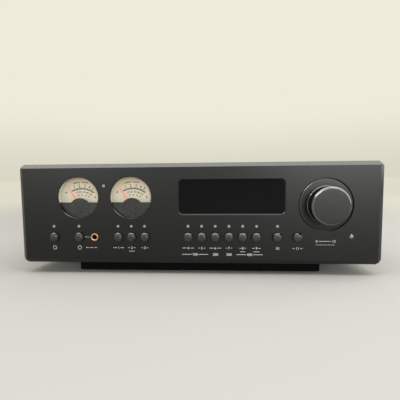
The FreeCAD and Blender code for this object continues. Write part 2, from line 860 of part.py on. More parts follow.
def rear_panel():
    """The plate across the back, with a cut-out for each socket."""
    body = new_body("rear_panel")
    outline = new_sketch(body, "XZ_Plane", rear_inside)
    draw_rectangle(outline, (-half_width, half_width), (underside, top))
    pad(body, outline, size.rear_thickness, reverse=True)
    corners = new_sketch(body, "XZ_Plane", rear_inside)
    corner_triangles(corners)
    pocket(body, corners, size.rear_thickness)
    holes = new_sketch(body, "XZ_Plane", rear_inside)
    for side in (LEFT, RIGHT):
        for z in rear_screw_z:
            draw_circle(holes, rear_screw_x * side, z, screw_hole_radius)
    for x, z in phono_places():
        draw_circle(holes, x, z, size.phono_radius + size.socket_clearance)
    for x, z in balanced_places():
        draw_circle(holes, x, z, size.balanced_body_radius + size.socket_clearance)
    for x in link_x:
        across = size.link_width / 2 + size.socket_clearance
        up = size.link_height / 2 + size.socket_clearance
        draw_rectangle(holes, (x - across, x + across), (socket_low - up, socket_low + up))
    across = size.mains_body_width / 2 + size.socket_clearance
    up = size.mains_body_height / 2 + size.socket_clearance
    draw_rectangle(holes, (mains_x - across, mains_x + across), (mains_z - up, mains_z + up))
    pocket(body, holes, size.rear_thickness)
    return keep(body)


def phono_places():
    """The x and z of each phono socket."""
    return [(x, z) for z in (socket_low, socket_high) for x in phono_x]


def balanced_places():
    """The x and z of each balanced socket: the outputs above, the inputs below."""
    return [(x, z) for z in (socket_high, socket_low) for x in balanced_x]


def base_plinth():
    """The folded tray that lifts the case off the table, with four posts for its screws."""
    body = new_body("base_plinth")
    across = size.plinth_width / 2
    along = back - size.plinth_setback
    outline = new_sketch(body, "XY_Plane", size.foot_height)
    draw_rectangle(outline, (-across, across), (-along, along))
    block_out = pad(body, outline, size.plinth_height)
    fillet(body, block_out, is_upright, size.plinth_corner_radius)
    hollow = new_sketch(body, "XY_Plane", underside)
    across = across - size.plinth_wall
    along = along - size.plinth_wall
    draw_rectangle(hollow, (-across, across), (-along, along))
    pocket(body, hollow, size.plinth_height - size.plinth_wall)
    posts = new_sketch(body, "XY_Plane", size.foot_height + size.plinth_wall)
    post_holes = new_sketch(body, "XY_Plane", underside)
    for side in (LEFT, RIGHT):
        for end in (LEFT, RIGHT):
            draw_circle(posts, foot_x * side, post_y * end, size.post_radius)
            draw_circle(post_holes, foot_x * side, post_y * end, screw_hole_radius)
    pad(body, posts, size.plinth_height - size.plinth_wall)
    pocket(body, post_holes, screw_hole_depth)
    return keep(body)


def is_upright(edge):
    """Whether an edge runs straight up."""
    box = edge.BoundBox
    return box.XLength < 0.001 and box.YLength < 0.001


def rubber_feet():
    """Four pads under the corners of the plinth."""
    feet = []
    for side in (LEFT, RIGHT):
        for end in (LEFT, RIGHT):
            name = f"foot_{len(feet) + 1}"
            x, y = foot_x * side, foot_y * end
            feet.append(rod(name, size.foot_radius, size.foot_height, x, y, 0, UPRIGHT))
    return keep(group("rubber_feet", feet))


def corner_brackets():
    """The two angles that join the front panel to the side walls from inside."""
    z = (bracket_top - size.bracket_height, bracket_top)
    angles = []
    for side in (LEFT, RIGHT):
        name = "left" if side == LEFT else "right"
        leg_end = inner_x - size.bracket_leg
        wall_end = inner_x - size.bracket_thickness
        x_leg = ordered(leg_end, inner_x, side)
        x_wall = ordered(wall_end, inner_x, side)
        leg = block(f"{name}_bracket_leg", x_leg, (panel_back, panel_back + size.bracket_thickness), z)
        wall = block(f"{name}_bracket_wall", x_wall, (panel_back, panel_back + size.bracket_leg), z)
        holes = []
        thickness = size.bracket_thickness
        for z_hole in bracket_screw_z:
            label = f"{name}_bracket_hole_{len(holes) + 1}"
            x, y = bracket_leg_screw_x * side, panel_back
            holes.append(rod(label, screw_hole_radius, thickness, x, y, z_hole))
            label = f"{name}_bracket_hole_{len(holes) + 1}"
            x, y = x_wall[0], bracket_wall_screw_y
            holes.append(rod(label, screw_hole_radius, thickness, x, y, z_hole, ALONG_X))
        angles.append(cut(f"{name}_bracket", fuse(f"{name}_angle", [leg, wall]), holes))
    return keep(group("corner_brackets", angles))


def ordered(near_x, far_x, side):
    """Two distances from the middle as a low and a high x on one side."""
    return (near_x, far_x) if side == RIGHT else (-far_x, -near_x)


def display():
    """The display's window and its module, one behind the other in their seat."""
    across = display_half[0] + size.display_lip_width - size.glass_clearance
    up = display_half[1] + size.display_lip_width - size.glass_clearance
    x = (display_x - across, display_x + across)
    z = (window_z - up, window_z + up)
    keep(block("display_window", x, (depth(size.display_lip), depth(display_glass_back)), z))
    module = block("display_case", x, (depth(display_glass_back), panel_back), z)
    margin = size.display_lip_width
    board_x = (x[0] - margin, x[1] + margin)
    board_z = (z[0] - margin, z[1] + margin)
    board = block("display_board", board_x, (panel_back, panel_back + size.board_thickness), board_z)
    keep(fuse("display_module", [module, board]))


def meter(side_name, x):
    """One needle meter: its window, housing, dial and the needle on its shaft."""
    glass_front, dial_front = depth(size.meter_lip), depth(size.dial_setback)
    thickness = size.meter_glass_thickness
    keep(rod(f"{side_name}_meter_window", meter_outer_radius, thickness, x, glass_front, window_z))
    ledge_radius = meter_inner_radius - size.dial_ledge
    inside_back = size.meter_depth - size.meter_wall
    keep(turned(f"{side_name}_meter_housing", [
        (meter_glass_back, meter_inner_radius),
        (meter_glass_back, meter_outer_radius),
        (size.panel_thickness, meter_outer_radius),
        (size.panel_thickness, size.meter_flange_radius),
        (size.panel_thickness + size.meter_flange_thickness, size.meter_flange_radius),
        (size.panel_thickness + size.meter_flange_thickness, meter_outer_radius),
        (size.meter_depth, meter_outer_radius),
        (size.meter_depth, 0),
        (inside_back, 0),
        (inside_back, ledge_radius),
        (dial_back, ledge_radius),
        (dial_back, meter_inner_radius),
    ], x, front, window_z))
    disc = rod(f"{side_name}_dial_disc", dial_radius, size.dial_thickness, x, dial_front, window_z)
    hole_radius = size.dial_hole_radius
    hole = rod(f"{side_name}_dial_hole", hole_radius, size.dial_thickness, x, dial_front, pivot_z)
    keep(cut(f"{side_name}_meter_dial", disc, [hole]))
    keep(needle(side_name, x))


def needle(side_name, x):
    """A balanced pointer with its hub and shaft, turned to where it rests."""
    body = new_body(f"{side_name}_meter_needle", x, front, pivot_z, LEANING_LEFT)
    bind(body, "Placement.Rotation.Angle", size.needle_rest_angle)
    root = size.needle_root_width / 2
    tip = size.needle_tip_width / 2
    blade = new_sketch(body, "XZ_Plane", size.needle_setback)
    draw_outline(blade, [
        (-root, -size.needle_tail),
        (root, -size.needle_tail),
        (tip, size.needle_length),
        (-tip, size.needle_length),
    ])
    pad(body, blade, size.needle_thickness, reverse=True)
    hub = new_sketch(body, "XZ_Plane", size.needle_setback)
    draw_circle(hub, 0, 0, size.needle_hub_radius)
    pad(body, hub, size.needle_thickness, reverse=True)
    shaft = new_sketch(body, "XZ_Plane", size.needle_setback)
    draw_circle(shaft, 0, 0, size.needle_shaft_radius)
    pad(body, shaft, size.needle_shaft_length, reverse=True)
    return body


def meter_masks():
    """The dark plates that hide both movements, each with a round hump over its needle's hub.

    Each plate stands on its dial with a skirt along its lower rim.
    """
    masks = []
    plate_front = depth(size.mask_setback)
    plate_back = depth(size.mask_setback + size.mask_thickness)
    skirt_length = size.dial_setback - size.mask_setback - size.mask_thickness
    for number, x in enumerate(meter_x, start=1):
        disc = rod(f"mask_disc_{number}", dial_radius, size.mask_thickness, x, plate_front, window_z)
        hump = rod(
            f"mask_hump_{number}", size.mask_hub_radius, size.mask_thickness, x, plate_front, pivot_z
        )
        across = (x - dial_radius, x + dial_radius)
        up = (window_z - dial_radius, window_z - size.mask_drop)
        lower = block(f"mask_lower_{number}", across, (plate_front, plate_back), up)
        plate = make("Part::MultiCommon", f"mask_plate_{number}")
        plate.Shapes = [disc, fuse(f"mask_outline_{number}", [hump, lower])]
        rim = rod(f"mask_rim_{number}", dial_radius, skirt_length, x, plate_back, window_z)
        inside_radius = dial_radius - size.mask_skirt
        inside = rod(f"mask_inside_{number}", inside_radius, skirt_length, x, plate_back, window_z)
        below = block(f"mask_below_{number}", across, (plate_back, depth(size.dial_setback)), up)
        skirt = make("Part::MultiCommon", f"mask_skirt_{number}")
        skirt.Shapes = [cut(f"mask_ring_{number}", rim, [inside]), below]
        masks.append(fuse(f"mask_{number}", [plate, skirt]))
    return keep(group("meter_masks", masks))


def meter_movements():
    """The magnet and coil unit behind each dial, with the bearing of its needle's shaft."""
    movements = []
    inside_back = size.meter_depth - size.meter_wall
    bearing_radius = size.needle_shaft_radius + size.needle_shaft_clearance
    bearing_end = size.needle_setback + size.needle_shaft_length + size.needle_shaft_end_gap
    length, bore_length = inside_back - dial_back, bearing_end - dial_back
    y = depth(dial_back)
    for number, x in enumerate(meter_x, start=1):
        magnet = rod(f"magnet_{number}", size.movement_radius, length, x, y, pivot_z)
        bearing = rod(f"bearing_{number}", bearing_radius, bore_length, x, y, pivot_z)
        movements.append(cut(f"movement_{number}", magnet, [bearing]))
    return keep(group("meter_movements", movements))


def meter_board():
    """The circuit board that both meters are soldered to."""
    reach = size.meter_bore_radius + size.meter_board_margin
    x = (meter_x[0] - reach, meter_x[1] + reach)
    y = (depth(size.meter_depth), depth(size.meter_depth + size.board_thickness))
    return keep(block("meter_board", x, y, (window_z - reach, window_z + reach)))


def push_button(number, x):
    """A domed button with the flange that traps it and the stem that works its switch."""
    flange_back = size.strip_wall + size.button_flange_thickness
    flange_radius = size.button_radius + size.button_flange
    stem_end = switch_front + size.stem_engagement
    rim = size.button_dome - size.button_reach
    return keep(turned(f"push_button_{number}", [
        (rim, size.button_radius),
        (-size.button_reach, 0),
        (stem_end, 0),
        (stem_end, size.stem_radius),
        (flange_back, size.stem_radius),
        (flange_back, flange_radius),
        (size.strip_wall, flange_radius),
        (size.strip_wall, size.button_radius),
    ], x, front, button_z, dome=0))


def button_switches():
    """One small switch on the control board behind each button."""
    switches = []
    half = size.switch_size / 2
    bore_depth = size.stem_engagement + size.button_travel + size.stem_end_gap
    bore_radius = size.stem_radius + size.stem_clearance
    y = (depth(switch_front), depth(board_front))
    z = (button_z - half, button_z + half)
    for number, x in enumerate(button_x, start=1):
        case = block(f"switch_case_{number}", (x - half, x + half), y, z)
        bore = rod(f"switch_bore_{number}", bore_radius, bore_depth, x, y[0], button_z)
        switches.append(cut(f"switch_{number}", case, [bore]))
    return keep(group("button_switches", switches))


def control_board():
    """The long circuit board behind the buttons, cut away round the headphone socket."""
    x = (strip_x[0] + size.board_clearance, strip_x[1] - size.board_clearance)
    y = (depth(board_front), depth(board_front + size.board_thickness))
    z = (strip_low + size.board_clearance, strip_high - size.board_clearance)
    board = block("control_board_blank", x, y, z)
    half_x = size.jack_body_width / 2 + size.board_clearance
    half_z = size.jack_body_height / 2 + size.board_clearance
    gap_x = (size.jack_x - half_x, size.jack_x + half_x)
    gap = block("control_board_gap", gap_x, y, (button_z - half_z, button_z + half_z))
    return keep(cut("control_board", board, [gap]))


def indicator_lenses():
    """The clear rods that bring each lamp's light to the front face."""
    rods = []
    short = size.lens_reach + board_front - size.lens_gap
    long = size.lens_reach + size.meter_depth - size.lens_gap
    places = [(x, lens_z, short) for x in lens_x]
    places.append((meter_lens_x, underside + size.meter_lens_z, long))
    for number, (x, z, length) in enumerate(places, start=1):
        rods.append(rod(f"lens_{number}", size.lens_radius, length, x, depth(-size.lens_reach), z))
    return keep(group("indicator_lenses", rods))


def sensor_lens():
    """The domed window of the remote control sensor, with its flange behind the panel."""
    end = board_front - size.lens_gap
    flange_radius = size.sensor_radius + size.button_flange
    flange_back = size.strip_wall + size.button_flange_thickness
    return keep(turned("sensor_lens", [
        (0, size.sensor_radius),
        (-size.sensor_reach, 0),
        (end, 0),
        (end, flange_radius),
        (size.strip_wall, flange_radius),
        (size.strip_wall, size.sensor_radius),
    ], size.sensor_x, front, underside + size.sensor_z, dome=0))


def headphone_socket():
    """The socket's body behind the panel, and the metal ring that clamps it there."""
    sleeve_end = size.strip_wall + size.jack_sleeve_engagement
    keep(turned("headphone_ring", [
        (-size.jack_ring_reach, size.jack_bore_radius),
        (-size.jack_ring_reach, size.jack_ring_radius),
        (0, size.jack_ring_radius),
        (0, size.jack_sleeve_radius),
        (sleeve_end, size.jack_sleeve_radius),
        (sleeve_end, size.jack_bore_radius),
    ], size.jack_x, front, button_z))
    half_x = size.jack_body_width / 2
    half_z = size.jack_body_height / 2
    body_y = (depth(size.strip_wall), depth(size.strip_wall + size.jack_body_depth))
    case_x = (size.jack_x - half_x, size.jack_x + half_x)
    case = block("headphone_case", case_x, body_y, (button_z - half_z, button_z + half_z))
    x, y = size.jack_x, body_y[0]
    bore = rod("headphone_bore", size.jack_bore_radius, size.jack_bore_depth, x, y, button_z)
    recess = rod("headphone_recess", jack_hole_radius, size.jack_sleeve_engagement, x, y, button_z)
    keep(cut("headphone_socket", case, [bore, recess]))


def volume_knob():
    """The turned knob: bevelled face, thin foot ring, hollow over the nut and a blind bore."""
    foot = -size.knob_foot_gap
    hollow_floor = foot - size.knob_hollow_depth
    bore_end = hollow_floor - size.shaft_grip
    bore_radius = size.shaft_radius + size.shaft_clearance
    foot_radius = size.knob_radius + size.knob_foot_lip
    return keep(turned("volume_knob", [
        (foot, size.knob_hollow_radius),
        (foot, foot_radius),
        (foot - size.knob_foot_height, foot_radius),
        (foot - size.knob_foot_height, size.knob_radius),
        (size.knob_bevel - size.knob_reach, size.knob_radius),
        (-size.knob_reach, size.knob_radius - size.knob_bevel),
        (-size.knob_reach, 0),
        (bore_end, 0),
        (bore_end, bore_radius),
        (hollow_floor, bore_radius),
        (hollow_floor, size.knob_hollow_radius),
    ], size.knob_x, front, knob_z))


def knob_surround():
    """The bevelled disc that lies flush in the panel round the knob."""
    return keep(turned("knob_surround", [
        (0, bushing_hole_radius),
        (0, size.surround_radius - size.surround_bevel),
        (size.surround_bevel, size.surround_radius),
        (surround_back, size.surround_radius),
        (surround_back, bushing_hole_radius),
    ], size.knob_x, front, knob_z))


def encoder():
    """The rotary encoder: case and bushing, nut, flanged shaft and the plunger of its push switch."""
    bore_radius = size.shaft_radius + size.shaft_clearance
    flange_radius = size.shaft_radius + size.shaft_flange
    cavity_radius = flange_radius + size.bushing_clearance
    cavity_front = encoder_front + size.encoder_wall
    flange_front = cavity_front + size.shaft_clearance
    plunger_front = flange_front + size.shaft_flange_thickness
    plunger_back = plunger_front + size.plunger_thickness
    cavity_back = plunger_back + size.knob_travel + size.plunger_end_gap
    half = size.encoder_size / 2
    x, z = size.knob_x, knob_z
    case_y = (depth(encoder_front), depth(cavity_back + size.encoder_wall))
    case = block("encoder_case", (x - half, x + half), case_y, (z - half, z + half))
    bushing_y = depth(-size.bushing_reach)
    bushing = rod("encoder_bushing", size.bushing_radius, case_y[0] - bushing_y, x, bushing_y, z)
    bore = rod("encoder_bore", bore_radius, depth(cavity_front) - bushing_y, x, bushing_y, z)
    cavity = rod("encoder_cavity", cavity_radius, cavity_back - cavity_front, x, depth(cavity_front), z)
    keep(cut("encoder_body", fuse("encoder_solid", [case, bushing]), [bore, cavity]))

    blank = make("Part::Prism", "encoder_nut_blank")
    blank.Polygon = 6
    bind(blank, "Circumradius", size.nut_width / math.sqrt(3))
    bind(blank, "Height", size.nut_height)
    place(blank, x, depth(-size.nut_height), z, ALONG_Y)
    nut_bore = rod("encoder_nut_bore", bushing_hole_radius, size.nut_height, x, depth(-size.nut_height), z)
    keep(cut("encoder_nut", blank, [nut_bore]))

    shaft_end = -(size.knob_foot_gap + size.knob_hollow_depth + size.shaft_grip)
    keep(turned("encoder_shaft", [
        (shaft_end, 0),
        (plunger_front, 0),
        (plunger_front, flange_radius),
        (flange_front, flange_radius),
        (flange_front, size.shaft_radius),
        (shaft_end, size.shaft_radius),
    ], x, front, z))
    keep(rod("encoder_plunger", flange_radius, size.plunger_thickness, x, depth(plunger_front), z))


def board_with_spacers(name, board_x, board_y):
    """A circuit board on four spacers that stand on the floor."""
    board_low = floor + size.spacer_height
    keep(block(name, board_x, board_y, (board_low, board_low + size.board_thickness)))
    spacers = []
    inset, radius, height = size.spacer_inset, size.spacer_radius, size.spacer_height
    for x in (board_x[0] + inset, board_x[1] - inset):
        for y in (board_y[0] + inset, board_y[1] - inset):
            label = f"{name}_spacer_{len(spacers) + 1}"
            spacers.append(rod(label, radius, height, x, y, floor, UPRIGHT))
    return spacers


def inner_boards():
    """The main board, the power board with its capacitors, and all their spacers."""
    main_x = (size.board_wall_gap - ledge_x, screen_left - size.main_board_screen_gap)
    main_back = rear_inside - size.main_board_back_gap
    spacers = board_with_spacers("main_board", main_x, (main_back - size.main_board_depth, main_back))
    power_x = (screen_right + size.screen_gap, ledge_x - size.board_wall_gap)
    power_y = (power_board_back - size.power_board_depth, power_board_back)
    spacers += board_with_spacers("power_board", power_x, power_y)
    keep(group("board_spacers", spacers))
    middle_x = (power_x[0] + power_x[1]) / 2
    middle_y = (power_y[0] + power_y[1]) / 2
    capacitors = []
    board_top = floor + size.spacer_height + size.board_thickness
    for side in (LEFT, RIGHT):
        for end in (LEFT, RIGHT):
            x = middle_x + size.capacitor_pitch * side / 2
            y = middle_y + size.capacitor_pitch * end / 2
            radius, height = size.capacitor_radius, size.capacitor_height
            label = f"capacitor_{len(capacitors) + 1}"
            capacitors.append(rod(label, radius, height, x, y, board_top, UPRIGHT))
    keep(group("filter_capacitors", capacitors))


def transformer():
    """The ring-shaped mains transformer, and the disc and bolt that hold it to the floor."""
    body = new_body("transformer", transformer_x, transformer_y, floor)
    section = new_sketch(body, "XZ_Plane")
    across = (size.transformer_hole_radius, size.transformer_radius)
    draw_rectangle(section, across, (0, size.transformer_height))
    ring = body.newObject("PartDesign::Revolution", "transformer_turning")
    ring.Profile = section
    ring.ReferenceAxis = (section, ["V_Axis"])
    ring.Angle = 360
    fillet(body, ring, is_outer_rim, size.transformer_rounding)
    keep(body)
    x, y = transformer_x, transformer_y
    disc_low = floor + size.transformer_height
    disc = rod("clamp_disc", size.clamp_radius, size.clamp_thickness, x, y, disc_low, UPRIGHT)
    hole_radius = size.clamp_bolt_radius + size.clamp_bolt_clearance
    hole = rod("clamp_hole", hole_radius, size.clamp_thickness, x, y, disc_low, UPRIGHT)
    head_low = disc_low + size.clamp_thickness
    head = rod("clamp_head", size.clamp_head_radius, size.clamp_head_height, x, y, head_low, UPRIGHT)
    shank = rod("clamp_shank", size.clamp_bolt_radius, head_low - underside, x, y, underside, UPRIGHT)
    plate = cut("clamp_plate", disc, [hole])
    keep(group("transformer_clamp", [plate, fuse("clamp_bolt", [head, shank])]))


def is_outer_rim(edge):
    """Whether an edge is one of the two outer rims of the transformer."""
    return isinstance(edge.Curve, Part.Circle) and near(edge.Curve.Radius, size.transformer_radius)


def screen_wall():
    """The bent steel sheet that keeps the transformer's field off the audio board."""
    body = new_body("screen_wall")
    foot_end = screen_left - size.screen_foot
    foot_top = floor + size.screen_thickness
    profile = new_sketch(body, "XZ_Plane", panel_back + size.screen_inset)
    draw_outline(profile, [
        (screen_right, floor),
        (screen_right, ceiling - size.screen_headroom),
        (screen_left, ceiling - size.screen_headroom),
        (screen_left, foot_top),
        (foot_end, foot_top),
        (foot_end, floor),
    ])
    pad(body, profile, rear_inside - panel_back - size.screen_inset * 2, reverse=True)
    return keep(body)


def phono_sockets():
    """The round sockets in two rows, each with its nut outside and its body inside."""
    sockets = []
    for number, (x, z) in enumerate(phono_places(), start=1):
        sockets.append(turned(f"phono_socket_{number}", [
            (-(size.rear_thickness + size.phono_body_depth), 0),
            (size.phono_reach - size.phono_bore_depth, 0),
            (size.phono_reach - size.phono_bore_depth, size.phono_bore_radius),
            (size.phono_reach, size.phono_bore_radius),
            (size.phono_reach, size.phono_radius),
            (size.phono_nut_height, size.phono_radius),
            (size.phono_nut_height, size.phono_nut_radius),
            (0, size.phono_nut_radius),
            (0, size.phono_radius),
            (-size.rear_thickness, size.phono_radius),
            (-size.rear_thickness, size.phono_nut_radius),
            (-(size.rear_thickness + size.phono_body_depth), size.phono_nut_radius),
        ], x, back, z))
    return keep(group("phono_sockets", sockets))


def balanced_shell(name, x, z, cup_depth):
    """The flange and round body of a balanced socket, with its cup."""
    across = size.balanced_flange_width / 2
    up = size.balanced_flange_height / 2
    mouth = back + size.balanced_flange_thickness
    flange_x, flange_z = (x - across, x + across), (z - up, z + up)
    corner = size.balanced_flange_corner
    flange = rounded_plate(f"{name}_flange", flange_x, (back, mouth), flange_z, corner)
    body_length = size.balanced_body_depth + size.balanced_flange_thickness
    body = rod(f"{name}_body", size.balanced_body_radius, body_length, x, mouth - body_length, z)
    cup = rod(f"{name}_cup", size.balanced_cup_radius, cup_depth, x, mouth - cup_depth, z)
    return cut(f"{name}_shell", fuse(f"{name}_solid", [flange, body]), [cup])


def balanced_pins(name, x, z, radius, start, length, upside):
    """Three pins or three holes on a circle, one of them straight up or down."""
    circle = size.balanced_pin_circle
    return [
        rod(f"{name}_1", radius, length, x - circle, start, z),
        rod(f"{name}_2", radius, length, x + circle, start, z),
        rod(f"{name}_3", radius, length, x, start, z + circle * upside),
    ]


def balanced_sockets():
    """Two outputs with pins in a cup, and two inputs with holes in an insert."""
    outputs, inputs = [], []
    mouth = back + size.balanced_flange_thickness
    cup_floor = mouth - size.balanced_cup_depth
    cup_depth = size.balanced_cup_depth
    radius = size.balanced_pin_radius
    for number, (x, z) in enumerate(balanced_places(), start=1):
        name = f"balanced_{number}"
        shell = balanced_shell(name, x, z, cup_depth)
        if number <= len(balanced_x):
            pin_length = cup_depth - size.balanced_pin_setback
            outputs.append(shell)
            outputs += balanced_pins(f"{name}_pin", x, z, radius, cup_floor, pin_length, LEFT)
        else:
            insert = rod(f"{name}_insert", size.balanced_insert_radius, cup_depth, x, cup_floor, z)
            holes = balanced_pins(f"{name}_hole", x, z, radius, cup_floor, cup_depth, RIGHT)
            inputs.append(cut(f"{name}_socket", fuse(f"{name}_filled", [shell, insert]), holes))
    keep(group("balanced_outputs", outputs))
    keep(group("balanced_inputs", inputs))


def link_sockets():
    """Two square link sockets, each with its latch notch above the mouth."""
    sockets = []
    face = back + size.link_reach
    half_x, half_z = size.link_width / 2, size.link_height / 2
    mouth_x, mouth_top = size.link_mouth_width / 2, socket_low + size.link_mouth_height / 2
    latch_x = size.link_latch_width / 2
    case_y = (face - size.link_depth, face)
    case_z = (socket_low - half_z, socket_low + half_z)
    mouth_y = (face - size.link_mouth_depth, face)
    mouth_z = (mouth_top - size.link_mouth_height, mouth_top)
    latch_z = (mouth_top, mouth_top + size.link_latch_height)
    for number, x in enumerate(link_x, start=1):
        case = block(f"link_case_{number}", (x - half_x, x + half_x), case_y, case_z)
        mouth = block(f"link_mouth_{number}", (x - mouth_x, x + mouth_x), mouth_y, mouth_z)
        latch = block(f"link_latch_{number}", (x - latch_x, x + latch_x), mouth_y, latch_z)
        sockets.append(cut(f"link_socket_{number}", case, [mouth, latch]))
    return keep(group("link_sockets", sockets))


def mains_inlet():
    """The mains inlet: flange, hollow body and three flat blades."""
    mouth_plane = back + size.mains_flange_thickness
    mouth_floor = mouth_plane - size.mains_mouth_depth
    x, z = mains_span(0, size.mains_flange_width, 0, size.mains_flange_height)
    flange = rounded_plate("mains_flange", x, (back, mouth_plane), z, size.mains_flange_corner)
    x, z = mains_span(0, size.mains_body_width, 0, size.mains_body_height)
    body = block("mains_body", x, (back - size.mains_body_depth, mouth_plane), z)
    x, z = mains_span(0, size.mains_mouth_width, 0, size.mains_mouth_height)
    mouth = mains_mouth(x, z, mouth_floor)
    pieces = [cut("mains_shell", fuse("mains_solid", [flange, body]), [mouth])]
    blade_y = (mouth_floor, mouth_plane - size.mains_blade_setback)
    for column, row in ((-1, -1), (0, 1), (1, -1)):
        across, up = size.mains_blade_spacing * column, size.mains_blade_offset * row
        x, z = mains_span(across, size.mains_blade_width, up, size.mains_blade_height)
        pieces.append(block(f"mains_blade_{len(pieces)}", x, blade_y, z))
    return keep(group("mains_inlet", pieces))


def mains_mouth(x, z, mouth_floor):
    """The space that a mains connector fills, with its two upper corners cut off."""
    body = new_body("mains_mouth")
    outline = new_sketch(body, "XZ_Plane", mouth_floor)
    leg = size.mains_mouth_corner
    draw_outline(outline, [
        (x[0], z[0]),
        (x[1], z[0]),
        (x[1], z[1] - leg),
        (x[1] - leg, z[1]),
        (x[0] + leg, z[1]),
        (x[0], z[1] - leg),
    ])
    pad(body, outline, size.mains_mouth_depth, reverse=True)
    return body


def mains_span(across, width, up, height):
    """The x and z of a rectangle whose middle lies off the middle of the mains inlet."""
    x, z = mains_x + across, mains_z + up
    return (x - width / 2, x + width / 2), (z - height / 2, z + height / 2)


def screw(number, x, y, z, way, length):
    """A screw whose head sits on a point and whose shank runs the given way from there."""
    turn = FreeCAD.Rotation(FreeCAD.Vector(0, 0, 1), FreeCAD.Vector(*way))
    height = size.screw_head_height
    head_x, head_y, head_z = x - height * way[0], y - height * way[1], z - height * way[2]
    head = rod(f"screw_head_{number}", size.screw_head_radius, height, head_x, head_y, head_z, turn)
    shank = rod(f"screw_shank_{number}", size.screw_radius, length, x, y, z, turn)
    return fuse(f"screw_{number}", [head, shank])


def case_screws():
    """The screws of the rear panel, the floor, the cover, the brackets and the plinth."""
    forwards, up, down = (0, -1, 0), (0, 0, 1), (0, 0, -1)
    bracket_length = size.bracket_thickness + size.screw_grip
    cover_length = size.ledge_height + size.cover_screw_grip
    floor_length = size.bottom_thickness + size.ledge_height
    places = []
    for side in (LEFT, RIGHT):
        for z in rear_screw_z:
            places.append((rear_screw_x * side, back, z, forwards, size.rear_thickness + size.screw_grip))
        for y in ledge_screw_y:
            x = ledge_screw_x * side
            places.append((x, y, underside, up, floor_length))
            places.append((x, y, ceiling - size.ledge_height, up, cover_length))
        for z in bracket_screw_z:
            leg_y = panel_back + size.bracket_thickness
            wall_x = (inner_x - size.bracket_thickness) * side
            places.append((bracket_leg_screw_x * side, leg_y, z, forwards, bracket_length))
            places.append((wall_x, bracket_wall_screw_y, z, (side, 0, 0), bracket_length))
        for end in (LEFT, RIGHT):
            length = size.bottom_thickness + size.screw_grip
            places.append((foot_x * side, post_y * end, floor, down, length))
    return keep(group("case_screws", [screw(number, *entry) for number, entry in enumerate(places, start=1)]))


def build():
    """Make every sub-part of the preamplifier."""
    front_panel()
    side_panel("left_side_panel", LEFT)
    side_panel("right_side_panel", RIGHT)
    top_cover()
    bottom_plate()
    rear_panel()
    base_plinth()
    rubber_feet()
    corner_brackets()
    display()
    for side_name, x in zip(("left", "right"), meter_x):
        meter(side_name, x)
    meter_masks()
    meter_movements()
    meter_board()
    for number, x in enumerate(button_x, start=1):
        push_button(number, x)
    button_switches()
    control_board()
    indicator_lenses()
    sensor_lens()
    headphone_socket()
    knob_surround()
    volume_knob()
    encoder()
    inner_boards()
    transformer()
    screen_wall()
    phono_sockets()
    balanced_sockets()
    link_sockets()
    mains_inlet()
    case_screws()
    doc.recompute()


def check():
    """Stop if any object failed, or any sub-part has no valid shape."""
    for thing in doc.Objects:
        if "Invalid" in thing.State or "Error" in thing.State:
            raise RuntimeError(f"{thing.Label} failed: {thing.State}")
    for node in nodes:
        if node.Shape.isNull() or not node.Shape.isValid():
            raise RuntimeError(f"{node.Label} has no valid shape")


def write():
    """Write each sub-part to a file that has its name."""
    os.makedirs("parts", exist_ok=True)
    for node in nodes:
        node.Shape.exportStep(os.path.join("parts", f"{node.Label}.step"))
    print(f"{len(nodes)} sub-parts written")


build()
check()
write()
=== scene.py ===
import json
import math

import bmesh
import bpy
import numpy as np
from bpy.props import FloatProperty, FloatVectorProperty, IntProperty, PointerProperty
from mathutils import Euler, Matrix, Vector


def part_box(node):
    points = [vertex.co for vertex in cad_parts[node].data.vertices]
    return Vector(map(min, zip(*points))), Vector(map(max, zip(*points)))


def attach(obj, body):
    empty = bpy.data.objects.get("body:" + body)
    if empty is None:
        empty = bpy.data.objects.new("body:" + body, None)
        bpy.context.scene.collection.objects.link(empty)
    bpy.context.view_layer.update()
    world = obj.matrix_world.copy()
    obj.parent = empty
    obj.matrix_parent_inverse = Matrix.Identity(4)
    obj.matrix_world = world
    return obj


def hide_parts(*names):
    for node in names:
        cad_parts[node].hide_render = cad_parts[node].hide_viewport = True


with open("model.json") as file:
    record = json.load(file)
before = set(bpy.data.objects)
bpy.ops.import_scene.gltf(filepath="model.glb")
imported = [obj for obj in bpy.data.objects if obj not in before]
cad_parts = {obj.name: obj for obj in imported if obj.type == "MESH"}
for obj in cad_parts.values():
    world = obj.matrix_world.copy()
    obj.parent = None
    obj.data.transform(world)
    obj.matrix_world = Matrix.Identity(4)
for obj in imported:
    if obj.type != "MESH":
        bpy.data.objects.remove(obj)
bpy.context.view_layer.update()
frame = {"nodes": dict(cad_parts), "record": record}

# Dresses a stereo preamplifier: the dark anodised case, its needle meters, display window, buttons,
# volume knob, printed marks and rear sockets, in front of a pale backdrop.
# Lengths are metres. X runs to the right, Y into the case from its front, Z up from the floor.

bl_info = {
    "name": "Stereo Preamplifier",
    "version": (1, 0, 0),
    "blender": (4, 5, 0),
    "location": "3D View > Sidebar > Preamplifier",
    "description": "Dresses a stereo preamplifier with finishes, printed marks and fine parts",
    "category": "Add Mesh",
}

MM = 0.001
NODES = frame["nodes"]
BUTTON_COUNT = 13
# Height of a digit, how far its middle lies over the line's, and how far its outline is moved out,
# in shares of the type's size.
DIGIT_HEIGHT = 0.70
DIGIT_MIDDLE = 0.041
DIGIT_BOLDNESS = 0.012
ALONG_Y = np.eye(3)
TOWARDS_VIEWER = np.array([0.0, -1.0, 0.0])
# Merging distances: corners of the frame's solids, and corners of new surfaces.
SAME_CORNER = 1e-6
SAME_POINT = 1e-7
# Edges with a greater angle look sharp, and corners with a smaller half turn aren't rounded.
SHARP_ANGLE = math.radians(32)
SLIGHT_TURN = math.radians(4)
BLACK = (0, 0, 0)
FINISHES = {}


def low(node):
    """The lowest corner of a node of the frame."""
    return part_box(node)[0]


